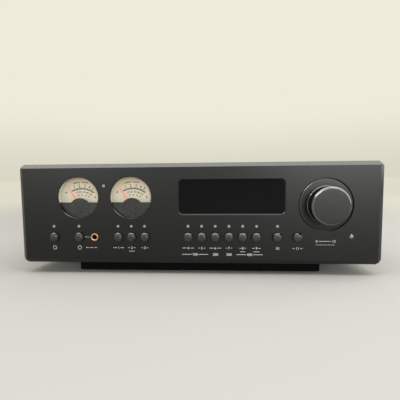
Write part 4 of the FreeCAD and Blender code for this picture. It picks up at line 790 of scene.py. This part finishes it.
class PREAMP_OT_finishes(bpy.types.Operator):
    """Make every finish and give the pieces of the frame theirs"""

    bl_idname = "preamp.finishes"
    bl_label = "Finishes"

    # Depth to which the front panel's bevels were cut after blasting.
    panel_cut = 2.5 * MM
    # The cut shade of the surround goes deeper than its bevel, and begins farther in.
    surround_cut = (0.7 * MM, 0.62 * MM)
    # Beyond its own radius by this much, the knob is its lip, which is cut too.
    lip_start = 0.03 * MM
    # Nodes of sockets: the finish of each, and the radii round a shell's mouth and round a pin.
    sockets = {
        "balanced_outputs": ("output_sockets", 9.65 * MM, 1.3 * MM),
        "balanced_inputs": ("input_sockets", 9.65 * MM, 1.3 * MM),
        "mains_inlet": ("mains_socket", 40 * MM, 2.5 * MM),
    }
    # Solids of those nodes that are wider than this are shells, and the others are pins.
    shell_width = 20 * MM
    beyond_sockets = 10 * MM
    pin_skin = 0.02 * MM

    def execute(self, context):
        look, shape = context.scene.preamp_finish, context.scene.preamp_shape
        _, face, _, foot = on_face("volume_knob")
        knob, bevel = foot - shape.knob_lip, shape.knob_bevel
        knob_edge = (look.knob_edge, face + bevel * 1.05, knob - bevel * 1.02, knob + self.lip_start)
        surround, (depth, leg) = on_face("knob_surround")[3], self.surround_cut
        surround_edge = (look.knob_edge, depth, surround - leg, surround)
        anodised("case_aluminium", look.case, 0.34)
        anodised("front_aluminium", look.case, 0.34, look.cut, self.panel_cut)
        sheet_steel("steel_sheet", (0.52, 0.52, 0.51))
        coated("black_plinth", (0.0015, 0.0015, 0.0015), 0.7)
        spun("button_metal", look.button, 0.25, 0.25 * MM)
        spun("knob_metal", look.knob, 0.32, 0.3 * MM, knob_edge)
        spun("surround_metal", look.case, 0.32, 0.3 * MM, surround_edge)
        polished("window_black", (0.0020, 0.0020, 0.0025), 0.05, 1.2)
        polished("mask_black", (0.006, 0.006, 0.0065), 0.18, 1.4)
        clear_glass("meter_glass")
        card("dial_card", look.dial, middle("left_meter_window"))
        frosted("lens_clear", (0.19, 0.19, 0.18))
        circuit("circuit_board", (0.02, 0.10, 0.05))
        wound("transformer_core", (0.03, 0.03, 0.03), middle("transformer"))
        moulded("foot_rubber", (0.012, 0.012, 0.012), 0.8)
        moulded("black_moulding", (0.02, 0.02, 0.02))
        moulded("white_moulding", (0.74, 0.70, 0.60), 0.5)
        moulded("red_moulding", (0.42, 0.02, 0.02), 0.5)
        moulded("capacitor_sleeve", (0.02, 0.02, 0.03), 0.35)
        brushed("sensor_dome", (0.24, 0.24, 0.235), 0.3, (1, 1, 1))
        brushed("socket_gold", (0.80, 0.52, 0.24), 0.25)
        brushed("ring_copper", (0.62, 0.32, 0.17), 0.28)
        brushed("magnet_steel", (0.40, 0.40, 0.40), 0.35)
        brushed("nut_steel", (0.62, 0.62, 0.60), 0.25)
        brushed("screw_steel", (0.07, 0.07, 0.07), 0.38, (1, 1, 1))
        ink("needle_red", look.needle, 0.3)
        ink("front_print", look.front_print)
        ink("dial_ink", look.dial_print)
        ink("dial_faint", (0.20, 0.13, 0.07))
        ink("dial_red", (0.42, 0.06, 0.035))
        own_finish = {"front_panel": "front_aluminium"}
        for node, (name, mouth_radius, pin_radius) in self.sockets.items():
            self.socket_finish(name, node, mouth_radius, pin_radius)
            own_finish[node] = name
        for entry in frame["record"]["subparts"]:
            slot = own_finish.get(entry["node"], entry["material_slot"])
            materials = NODES[entry["node"]].data.materials
            materials.clear()
            materials.append(FINISHES.get(slot, FINISHES["nut_steel"]))
        return {"FINISHED"}

    def socket_finish(self, name, node, mouth_radius, pin_radius):
        """The finish of a node whose sockets have more than one material."""
        mouths, pins = [], []
        for lowest, highest, centre in spans(node):
            if highest[0] - lowest[0] > self.shell_width:
                mouths.append((centre, mouth_radius, BACK_Y + self.beyond_sockets))
            else:
                pins.append((centre, pin_radius, float(highest[1]) + self.pin_skin))
        socket_body(name, mouths, pins)


class PREAMP_OT_push_buttons(bpy.types.Operator):
    """Turn the thirteen domed buttons with their flanges and stems"""

    bl_idname = "preamp.push_buttons"
    bl_label = "Push buttons"

    crown_radius = 2.3 * MM
    shoulder_radius = 3.3 * MM
    crown_slope = math.radians(7)
    shoulder_slope = math.radians(40.5)
    cap_rows = 37
    # The last rows of the cap, which make way for its rounded rim.
    rim_rows = 7

    def cap(self, tip, radius):
        """Profile of a button's head: a crown that is nearly flat, and a steep shoulder round it.

        The slope grows with the radius to the crown's slope, and from the crown to the shoulder by
        a smooth step to the shoulder's. The depth is the sum of the slopes' tangents.
        """
        steps = np.linspace(0, radius, self.cap_rows)
        share = np.clip((steps - self.crown_radius) / (self.shoulder_radius - self.crown_radius), 0, 1)
        share = share * share * (3 - 2 * share)
        slope = self.crown_slope * steps / radius + (self.shoulder_slope - self.crown_slope) * share
        fall = np.tan((slope[1:] + slope[:-1]) / 2) * np.diff(steps)
        return np.stack([tip + np.concatenate([[0], np.cumsum(fall)]), steps], axis=-1)

    def execute(self, context):
        shape = context.scene.preamp_shape
        radius, stem, flange_front = shape.button_radius, shape.button_stem, shape.flange_front
        flange_back = flange_front + shape.flange_thickness
        for button in range(1, BUTTON_COUNT + 1):
            node = f"push_button_{button}"
            centre, tip, end, flange = on_face(node)
            cap = self.cap(tip, radius)
            body = softened([
                cap[-self.rim_rows - 1], cap[-1], (flange_front, radius), (flange_front, flange),
                (flange_back, flange), (flange_back, stem), (end, stem), (end, 0.0),
            ], shape.corner_round)
            profile = np.concatenate([cap[:-self.rim_rows], body[1:]])
            make(f"button_{button}_turned", [turned(profile, centre)], "button_metal",
                 f"button_{button}", "button_metal", node)
        return {"FINISHED"}


class PREAMP_OT_volume_knob(bpy.types.Operator):
    """Turn the volume knob and the flush disc round it"""

    bl_idname = "preamp.volume_knob"
    bl_label = "Volume knob"

    hollow_radius = 11.0 * MM
    hollow_depth = 5.0 * MM
    bore_radius = 3.05 * MM
    bore_depth = 5.0 * MM
    foot_height = 0.9 * MM
    bushing_hole = 4.6 * MM
    face_rings = 12
    turning_steps = 192

    def execute(self, context):
        shape = context.scene.preamp_shape
        centre, face, foot, foot_radius = on_face("volume_knob")
        bevel, lip = shape.knob_bevel, shape.knob_lip
        radius, hollow, bore = foot_radius - lip, self.hollow_radius, self.bore_radius
        hollow_floor = foot - self.hollow_depth
        bore_end = hollow_floor - self.bore_depth
        outline = softened([
            (face, 0.0), (face, radius - bevel), (face + bevel, radius),
            (foot - self.foot_height, radius), (foot - self.foot_height + lip, foot_radius),
            (foot, foot_radius), (foot, hollow), (hollow_floor, hollow), (hollow_floor, bore),
            (bore_end, bore), (bore_end, 0.0),
        ], shape.corner_round * 0.6)
        rings = [(face, ring) for ring in np.linspace(0, radius - 2 * bevel, self.face_rings)]
        knob = turned([*rings, *outline[1:]], centre, self.turning_steps)
        make("volume_knob_turned", [knob], "knob_metal", "volume", "knob_metal", "volume_knob")

        _, _, thickness, edge = on_face("knob_surround")
        hole, bevel = self.bushing_hole, shape.surround_bevel
        ring = softened([
            (thickness, hole), (0.0, hole), (0.0, edge - bevel), (bevel, edge), (thickness, edge),
            (thickness, hole),
        ], shape.corner_round * 0.4)
        make("knob_surround_turned", [turned(ring, centre, self.turning_steps)], "surround_metal",
             "case", "knob_metal", "knob_surround")
        return {"FINISHED"}


class PREAMP_OT_front_lenses(bpy.types.Operator):
    """Turn the sensor's dome and the ring of the headphone socket"""

    bl_idname = "preamp.front_lenses"
    bl_label = "Sensor and headphone ring"

    ring_reach = 0.6 * MM
    ring_radius = 3.4 * MM
    ring_round = 0.4 * MM
    bore_radius = 2.2 * MM
    sleeve_radius = 2.9 * MM
    sensor_radius = 2.0 * MM
    sensor_rows = 14

    def execute(self, context):
        centre, _, end, _ = on_face("headphone_ring")
        front, bore, sleeve = -self.ring_reach, self.bore_radius, self.sleeve_radius
        ring = softened([
            (end, bore), (front, bore), (front, self.ring_radius), (0.0, self.ring_radius),
            (0.0, sleeve), (end, sleeve), (end, bore),
        ], self.ring_round)
        make("headphone_ring_turned", [turned(ring, centre)], "ring_copper", "case", "socket_gold",
             "headphone_ring")

        centre, tip, end, edge = on_face("sensor_lens")
        radius, flange = self.sensor_radius, context.scene.preamp_shape.flange_front
        profile = [*dome(tip, (0.0, radius), self.sensor_rows), (flange, radius), (flange, edge),
                   (end, edge), (end, 0.0)]
        make("sensor_dome", [turned(profile, centre)], "sensor_dome", "case", "lens_clear", "sensor_lens")
        return {"FINISHED"}


def dial_pivot(side):
    """The point that a meter's needle turns about, on its window's plane."""
    pivot = np.array(middle(f"{side}_meter_window"))
    pivot[2] -= bpy.context.scene.preamp_shape.pivot_drop
    return pivot


class PREAMP_OT_needles(bpy.types.Operator):
    """Make both needles: a tapered blade, a domed hub and the shaft"""

    bl_idname = "preamp.needles"
    bl_label = "Needles"

    tail = 5.0 * MM
    root_width = 1.9 * MM
    tip_width = 1.1 * MM
    tip_gap = 0.02 * MM
    thickness = 0.35 * MM
    hub_radius = 1.6 * MM
    hub_dome = 0.3 * MM
    hub_height = 0.5 * MM
    shaft_radius = 0.5 * MM
    rows = 9
    hub_rows = 5
    turning_steps = 32
    # Points farther out than this share of the needle's reach are at its tip.
    tip_share = 0.97

    def execute(self, context):
        for side in ("left", "right"):
            node = f"{side}_meter_needle"
            points, = solids(node)
            lowest, highest, _ = span(points)
            pivot = dial_pivot(side)
            pivot[1] = lowest[1]
            away = points[:, [0, 2]] - pivot[[0, 2]]
            reach = np.linalg.norm(away, axis=1)
            far = away[reach > self.tip_share * reach.max()].mean(axis=0)
            way = np.array([far[0], 0.0, far[1]]) / np.linalg.norm(far)
            line = np.linspace(-self.tail, float(reach.max()) - self.tip_gap, self.rows)[:, None]
            width = np.linspace(self.root_width, self.tip_width, self.rows)
            path = pivot - TOWARDS_VIEWER * self.thickness + line * way
            blade = ribbon(path, width, self.thickness, TOWARDS_VIEWER)
            end, hub, shaft = float(highest[1] - lowest[1]), self.hub_radius, self.shaft_radius
            profile = [*dome(0.0, (self.hub_dome, hub), self.hub_rows), (self.hub_height, hub),
                       (self.hub_height, shaft), (end, shaft), (end, 0.0)]
            make(f"{side}_needle_blade", [blade, turned(profile, pivot, self.turning_steps)],
                 "needle_red", f"{side}_needle", "needle_red", node)
        return {"FINISHED"}


class PREAMP_OT_front_print(bpy.types.Operator):
    """Print the numbers, lines and rings on the front"""

    bl_idname = "preamp.front_print"
    bl_label = "Front print"

    # The first buttons have a ring each. The captions of the others have these widths.
    ringed = 2
    ring_line = 0.9
    ring_steps = 48
    caption_widths = [width * MM for width in (9.7, 6.7, 5.9, 10.2, 6.0, 10.2, 5.5, 5.8, 7.4, 5.5, 8.5)]
    with_second_line = (4, 10, 11)
    # The first and the last button over each group's number.
    pairs = {"100": (6, 7), "200": (8, 8), "300": (9, 9), "400": (10, 11)}
    pair_reach = 5.6 * MM
    digit_width = 0.50
    gap = 0.8 * MM
    line_pitch = 3.1 * MM
    # Half of a dash, in shares of the room that it has.
    half_dash = 0.36
    jack_caption = 11.6 * MM
    jack_caption_shift = -3.2 * MM
    jack_link = (3.9 * MM, 8.9 * MM)
    jack_line = 0.6
    knob_caption = 16.6 * MM
    knob_caption_drop = 31.8 * MM
    # How far the first and last number, and the ends of the line, stand in from the knob's caption.
    number_insets = (0.8 * MM, 1.3 * MM)
    line_insets = (2.6 * MM, 3.6 * MM)
    tick_count = 11
    half_tick = 0.6 * MM
    tick_line = 0.8

    def execute(self, context):
        self.sizes = context.scene.preamp_print
        self.base = FACE_Y + self.sizes.ink / 4
        marks = self.jack_marks() + self.knob_marks()
        for button in range(1, BUTTON_COUNT + 1):
            x, _, z = middle(f"push_button_{button}")
            line, count = z - self.sizes.caption_drop, button - self.ringed
            if count < 1:
                marks.append(self.ring(x, line))
                continue
            width = self.caption_widths[count - 1]
            marks += self.caption(str(count), x, line, width)
            if button in self.with_second_line:
                marks.append(self.dash(x, width, line - self.line_pitch))
        for text, (first, last) in self.pairs.items():
            start, end = middle(f"push_button_{first}"), middle(f"push_button_{last}").x
            width = end - start.x + 2 * self.pair_reach if last > first else 0
            marks += self.caption(text, (start.x + end) / 2, start.z - self.sizes.group_drop, width)
        make("front_marks", marks, "front_print", "case", "white_moulding")
        return {"FINISHED"}

    def bar(self, start, finish, z, share=1.0):
        """A level line, whose width is a share of the others'."""
        path = np.linspace((start, self.base, z), (finish, self.base, z), 3)
        return inked(path, self.sizes.line * share)

    def dash(self, x, room, z):
        """A level line in the middle of the room that it has."""
        return self.bar(x - room * self.half_dash, x + room * self.half_dash, z)

    def ring(self, x, z):
        """A ring of nearly the lines' width."""
        half, radius = self.sizes.line * self.ring_line / 2, self.sizes.ring_radius
        profile = ring_profile(0.0, -self.sizes.ink, radius - half, radius + half)
        return turned(profile, (x, self.base, z), self.ring_steps)

    def caption(self, text, x, z, width):
        """A number with a line either side of it, out to a width."""
        height = self.sizes.digit_height
        half = len(text) * self.digit_width * height / DIGIT_HEIGHT / 2 + self.gap
        marks = [number(text, height, (x, self.base, z))]
        if width / 2 - half > self.gap / 2:
            marks += [self.bar(x - width / 2, x - half, z), self.bar(x + half, x + width / 2, z)]
        return marks

    def jack_marks(self):
        """Three dashes below the headphone socket, and the line from the button beside it."""
        jack = middle("headphone_ring")
        line = middle("push_button_1").z - self.sizes.caption_drop
        x, third = jack.x + self.jack_caption_shift, self.jack_caption / 3
        near, far = self.jack_link
        return [*(self.dash(x + step * third, third, line) for step in (-1, 0, 1)),
                self.bar(jack.x - far, jack.x - near, jack.z, self.jack_line)]

    def knob_marks(self):
        """The range of the knob as numbers with a line between, and a row of ticks below."""
        knob, height = middle("volume_knob"), self.sizes.digit_height
        z = knob.z - self.knob_caption_drop
        left, right = knob.x - self.knob_caption / 2, knob.x + self.knob_caption / 2
        first, last = left + self.number_insets[0], right - self.number_insets[1]
        marks = [
            number("0", height, (first, self.base, z)), number("10", height, (last, self.base, z)),
            self.bar(left + self.line_insets[0], right - self.line_insets[1], z),
        ]
        below = z - self.line_pitch
        for x in np.linspace(first, last, self.tick_count):
            path = [(x, self.base, below + step * self.half_tick) for step in (-1, 0, 1)]
            marks.append(inked(path, self.sizes.line * self.tick_line))
        return marks


class PREAMP_OT_dial_print(bpy.types.Operator):
    """Print the scale, the ticks and the numbers on both dials"""

    bl_idname = "preamp.dial_print"
    bl_label = "Dial print"

    # Angles are degrees clockwise from straight up.
    scale_start = -28.0
    red_start = 30.0
    scale_end = 37.0
    red_width = 1.8
    upper_numbers = {"1": -19.0, "2": -6.0, "3": 8.0, "4": 20.0, "5": 29.5}
    lower_numbers = {"10": -18.0, "20": -6.0, "30": 7.0, "40": 19.5, "50": 32.0}
    upper_radius = 21.3 * MM
    lower_radius = 15.7 * MM
    lower_height = 0.75
    tick = 1.3 * MM
    tick_width = 0.8
    tick_count = 17
    faint_arcs = ((-18.0, -3.0), (0.0, 14.0))
    faint_arc_radius = 24.6 * MM
    faint_arc_width = 1.2 * MM
    # Each dot's angle, distance from the pivot, width and material.
    dots = (
        (-14.0, 12.9 * MM, 1.6 * MM, 2), (1.0, 12.9 * MM, 1.6 * MM, 2), (17.0, 12.9 * MM, 1.6 * MM, 2),
        (30.0, 12.9 * MM, 1.6 * MM, 2), (49.0, 16.4 * MM, 1.7 * MM, 0), (-43.7, 21.1 * MM, 1.7 * MM, 0),
    )
    half_dot = 0.5 * MM

    def execute(self, context):
        sizes = context.scene.preamp_print
        marks = []
        for side in ("left", "right"):
            pivot = dial_pivot(side)
            pivot[1] = low(f"{side}_meter_dial").y + sizes.ink / 4
            marks += self.marks(sizes, pivot)
        make("dial_marks", marks, "dial_ink dial_red dial_faint", "case", "dial_card")
        return {"FINISHED"}

    def spoke(self, pivot, angle, start, finish, width, material=0):
        """A short line that points away from the pivot."""
        reach = np.linspace(start, finish, 3)[:, None]
        return inked(arc(pivot, reach, angle, angle, 1), width, material)

    def marks(self, sizes, pivot):
        """Every mark of one dial about the needle's pivot."""
        radius, line, height = sizes.scale_radius, sizes.scale_line, sizes.dial_digit_height
        marks = [
            inked(arc(pivot, radius, self.scale_start, self.red_start), line),
            inked(arc(pivot, radius, self.red_start, self.scale_end), line * self.red_width, 1),
        ]
        for numbers, distance, size in (
                (self.upper_numbers, self.upper_radius, height),
                (self.lower_numbers, self.lower_radius, height * self.lower_height)):
            for text, angle in numbers.items():
                marks.append(number(text, size, arc(pivot, distance, angle, angle, 1)[0], angle))
        for angle in np.linspace(self.scale_start, self.scale_end, self.tick_count):
            red = int(angle > self.red_start)
            marks.append(self.spoke(pivot, angle, radius, radius + self.tick, line * self.tick_width, red))
        for start, finish in self.faint_arcs:
            path = arc(pivot, self.faint_arc_radius, start, finish)
            marks.append(inked(path, self.faint_arc_width, 2))
        for angle, distance, width, material in self.dots:
            start, finish = distance - self.half_dot, distance + self.half_dot
            marks.append(self.spoke(pivot, angle, start, finish, width, material))
        return marks


class PREAMP_OT_fasteners(bpy.types.Operator):
    """Turn the screws of the case and of the socket flanges, and the rubber feet"""

    bl_idname = "preamp.fasteners"
    bl_label = "Screws and feet"

    head_height = 1.7 * MM
    shank_radius = 1.5 * MM
    socket_radius = 1.25 * MM
    shank_edge = 0.4 * MM
    # How deep the hexagon goes into the head, and what it leaves round it, in shares.
    hexagon_depth = 0.6
    hexagon_edge = 1.05
    screw_steps = 36
    # Points farther out than this share of a screw's radius are on its head.
    head_share = 0.9
    # Head radius, head height, length and socket radius of the screws in the flanges.
    flange_screw = (2.0 * MM, 1.0 * MM, 4.0 * MM, 1.1 * MM)
    # Where the screws of a flange stand from its middle. Pins end less than the rim past the panel.
    balanced_screws = ((-9.6 * MM, 12.1 * MM), (9.6 * MM, -12.1 * MM))
    mains_screws = ((-19.4 * MM, 0.0), (19.4 * MM, 0.0))
    rim = 1 * MM
    # Depth and radius of the hollow under a foot, and of the ring that it stands on.
    foot_hollow = ((0.8 * MM, 0.0), (0.8 * MM, 4.0 * MM), (0.0, 5.2 * MM))
    foot_round = 0.7 * MM
    foot_steps = 72

    def execute(self, context):
        screws = [self.case_screw(points) for points in solids("case_screws")]
        make("case_screws_turned", screws, "screw_steel", "case", "screw_steel", "case_screws")
        make("flange_screws", self.flange_screws(), "screw_steel", "case", "screw_steel")
        feet = [self.foot(*corners) for corners in spans("rubber_feet")]
        make("feet_turned", feet, "foot_rubber", "case", "foot_rubber", "rubber_feet")
        return {"FINISHED"}

    def screw(self, seat, way, head_radius, head_height, length, socket_radius):
        """A button-head screw with a hexagon socket. Its seat is at depth 0 and its head before it.

        The head's side is a quarter of an ellipse from its flat top out to its radius.
        """
        top, floor = -head_height, (self.hexagon_depth - 1) * head_height
        shank, edge = self.shank_radius, self.shank_edge
        angle = np.linspace(0, math.pi / 2, 8)
        side = zip(top * (0.25 + 0.75 * np.cos(angle)), head_radius * (0.6 + 0.4 * np.sin(angle)))
        return turned([
            (floor, 0.0, 1.0), (floor, socket_radius, 1.0), (top, socket_radius, 1.0),
            (top, socket_radius * self.hexagon_edge), *side, (0.0, head_radius), (0.0, shank),
            (length - edge, shank), (length, shank - edge), (length, 0.0),
        ], seat, self.screw_steps, facing(*way))

    def case_screw(self, points):
        """A screw in the place of its solid, whose head is at the end with the wide points."""
        lowest, highest, centre = span(points)
        axis = int(np.argmax(highest - lowest))
        away = np.linalg.norm(np.delete(points - centre, axis, axis=1), axis=1)
        head_radius = float(away.max())
        wide = points[away > self.head_share * head_radius, axis].mean()
        sign = 1.0 if wide < centre[axis] else -1.0
        way, seat = np.zeros(3), centre.astype(float)
        way[axis] = sign
        seat[axis] = (lowest if sign > 0 else highest)[axis] + sign * self.head_height
        length = float(highest[axis] - lowest[axis]) - self.head_height
        return self.screw(seat, way, head_radius, self.head_height, length, self.socket_radius)

    def flange_screws(self):
        """Two screws in the flange of each balanced socket, and two in the mains flange."""
        screws = []
        for node, offsets in (("balanced_outputs", self.balanced_screws),
                              ("balanced_inputs", self.balanced_screws),
                              ("mains_inlet", self.mains_screws)):
            for _, highest, centre in spans(node):
                if highest[1] < BACK_Y + self.rim:
                    continue
                for x, z in offsets:
                    seat = (centre[0] + x, highest[1], centre[2] + z)
                    screws.append(self.screw(seat, TOWARDS_VIEWER, *self.flange_screw))
        return screws

    def foot(self, lowest, highest, centre):
        """A rubber foot with a dished middle and rounded lower edge."""
        radius, height = float(highest[0] - lowest[0]) / 2, float(highest[2] - lowest[2])
        rows = softened([*self.foot_hollow, (0.0, radius), (height, radius), (height, 0.0)],
                        self.foot_round)
        return turned(rows, (centre[0], centre[1], lowest[2]), self.foot_steps, facing(0, 0, 1))


class PREAMP_OT_phono_sockets(bpy.types.Operator):
    """Turn the gold phono sockets with their nuts, washers and coloured insulators"""

    bl_idname = "preamp.phono_sockets"
    bl_label = "Phono sockets"

    barrel_radius = 4.15 * MM
    insulator_radius = 3.2 * MM
    insulator_recess = 0.5 * MM
    bore_radius = 1.6 * MM
    bore_depth = 9.0 * MM
    washer = 0.6 * MM
    washer_gap = 0.02 * MM
    nut_height = 2.5 * MM
    nut_top = 0.93
    edge = 0.4 * MM
    shell_steps = 72
    ring_steps = 48
    row_height = middle("phono_sockets").z

    def execute(self, context):
        shells, washers, upper, lower = [], [], [], []
        inside = low("rear_panel").y - BACK_Y
        for lowest, highest, centre in spans("phono_sockets"):
            centre[1] = BACK_Y
            nut = float(highest[0] - lowest[0]) / 2
            start, reach = lowest[1] - BACK_Y, highest[1] - BACK_Y
            shells.append(turned(self.shell(start, inside, reach, nut), centre, self.shell_steps))
            ring = ring_profile(self.washer_gap, self.washer, self.barrel_radius, nut)
            washers.append(turned(ring, centre, self.ring_steps))
            ring = ring_profile(reach - self.bore_depth, reach - self.insulator_recess, self.bore_radius,
                                self.insulator_radius)
            row = upper if centre[2] > self.row_height else lower
            row.append(turned(ring, centre, self.ring_steps))
        make("phono_shells", shells, "socket_gold", "case", "socket_gold", "phono_sockets")
        make("phono_washers", washers, "black_moulding", "case", "black_moulding")
        make("phono_insulators_upper", upper, "white_moulding", "case", "white_moulding")
        make("phono_insulators_lower", lower, "red_moulding", "case", "needle_red")
        return {"FINISHED"}

    def shell(self, start, inside, reach, nut):
        """Profile of the gold shell: body behind the panel, hexagon nut and open barrel."""
        barrel, opening, edge = self.barrel_radius, self.insulator_radius, self.edge
        top, floor = self.nut_height, reach - self.bore_depth
        return [
            (start, 0.0), (start, nut - edge), (start + edge, nut), (inside, nut), (inside, barrel),
            (self.washer, barrel), (self.washer, nut, 1.0), (top - edge, nut, 1.0),
            (top, nut * self.nut_top, 1.0), (top, barrel), (reach - edge, barrel), (reach, barrel - edge),
            (reach, opening), (floor, opening), (floor, 0.0),
        ]


class PREAMP_OT_link_contacts(bpy.types.Operator):
    """Bend the eight gold contacts in each link socket"""

    bl_idname = "preamp.link_contacts"
    bl_label = "Link contacts"

    columns = np.arange(8) - 3.5
    pitch = 1.02 * MM
    width = 0.45 * MM
    thickness = 0.2 * MM
    # From the middle of the phono sockets down to that of the link sockets, and to their floor.
    row_drop = 17.0 * MM
    mouth_bottom = 3.5 * MM
    # Depth behind the rim and height over the mouth's floor, along a contact.
    bends = ((1.2 * MM, 0.1 * MM), (3.0 * MM, 0.3 * MM), (8.0 * MM, 2.2 * MM), (12.5 * MM, 2.6 * MM))

    def execute(self, context):
        contacts = []
        floor = middle("phono_sockets").z - self.row_drop - self.mouth_bottom
        for _, highest, centre in spans("link_sockets"):
            for x in centre[0] + self.columns * self.pitch:
                path = [(x, highest[1] - depth, floor + height) for depth, height in self.bends]
                contacts.append(ribbon(path, self.width, self.thickness, (0.0, 0.0, 1.0)))
        make("link_contacts", contacts, "socket_gold", "case", "socket_gold")
        return {"FINISHED"}


GROUPS = {
    "preamp_camera": CameraSettings,
    "preamp_stage": StageSettings,
    "preamp_finish": FinishSettings,
    "preamp_print": PrintSettings,
    "preamp_shape": ShapeSettings,
}
OPERATORS = (
    PREAMP_OT_stage, PREAMP_OT_finishes, PREAMP_OT_push_buttons, PREAMP_OT_volume_knob,
    PREAMP_OT_front_lenses, PREAMP_OT_needles, PREAMP_OT_front_print, PREAMP_OT_dial_print,
    PREAMP_OT_fasteners, PREAMP_OT_phono_sockets, PREAMP_OT_link_contacts,
)


class PREAMP_PT_sidebar(bpy.types.Panel):
    """Lists the steps that dress the preamplifier"""

    bl_idname = "PREAMP_PT_sidebar"
    bl_label = "Preamplifier"
    bl_space_type = "VIEW_3D"
    bl_region_type = "UI"
    bl_category = "Preamplifier"

    def draw(self, context):
        for operator in OPERATORS:
            self.layout.operator(operator.bl_idname)


CLASSES = (*GROUPS.values(), *OPERATORS, PREAMP_PT_sidebar)


def register():
    for cls in CLASSES:
        bpy.utils.register_class(cls)
    for name, group in GROUPS.items():
        setattr(bpy.types.Scene, name, PointerProperty(type=group))


def unregister():
    for name in GROUPS:
        delattr(bpy.types.Scene, name)
    for cls in reversed(CLASSES):
        bpy.utils.unregister_class(cls)


def main():
    register()
    bpy.ops.preamp.stage()
    bpy.ops.preamp.finishes()
    bpy.ops.preamp.push_buttons()
    bpy.ops.preamp.volume_knob()
    bpy.ops.preamp.front_lenses()
    bpy.ops.preamp.needles()
    bpy.ops.preamp.front_print()
    bpy.ops.preamp.dial_print()
    bpy.ops.preamp.fasteners()
    bpy.ops.preamp.phono_sockets()
    bpy.ops.preamp.link_contacts()


if __name__ == "__main__":
    main()
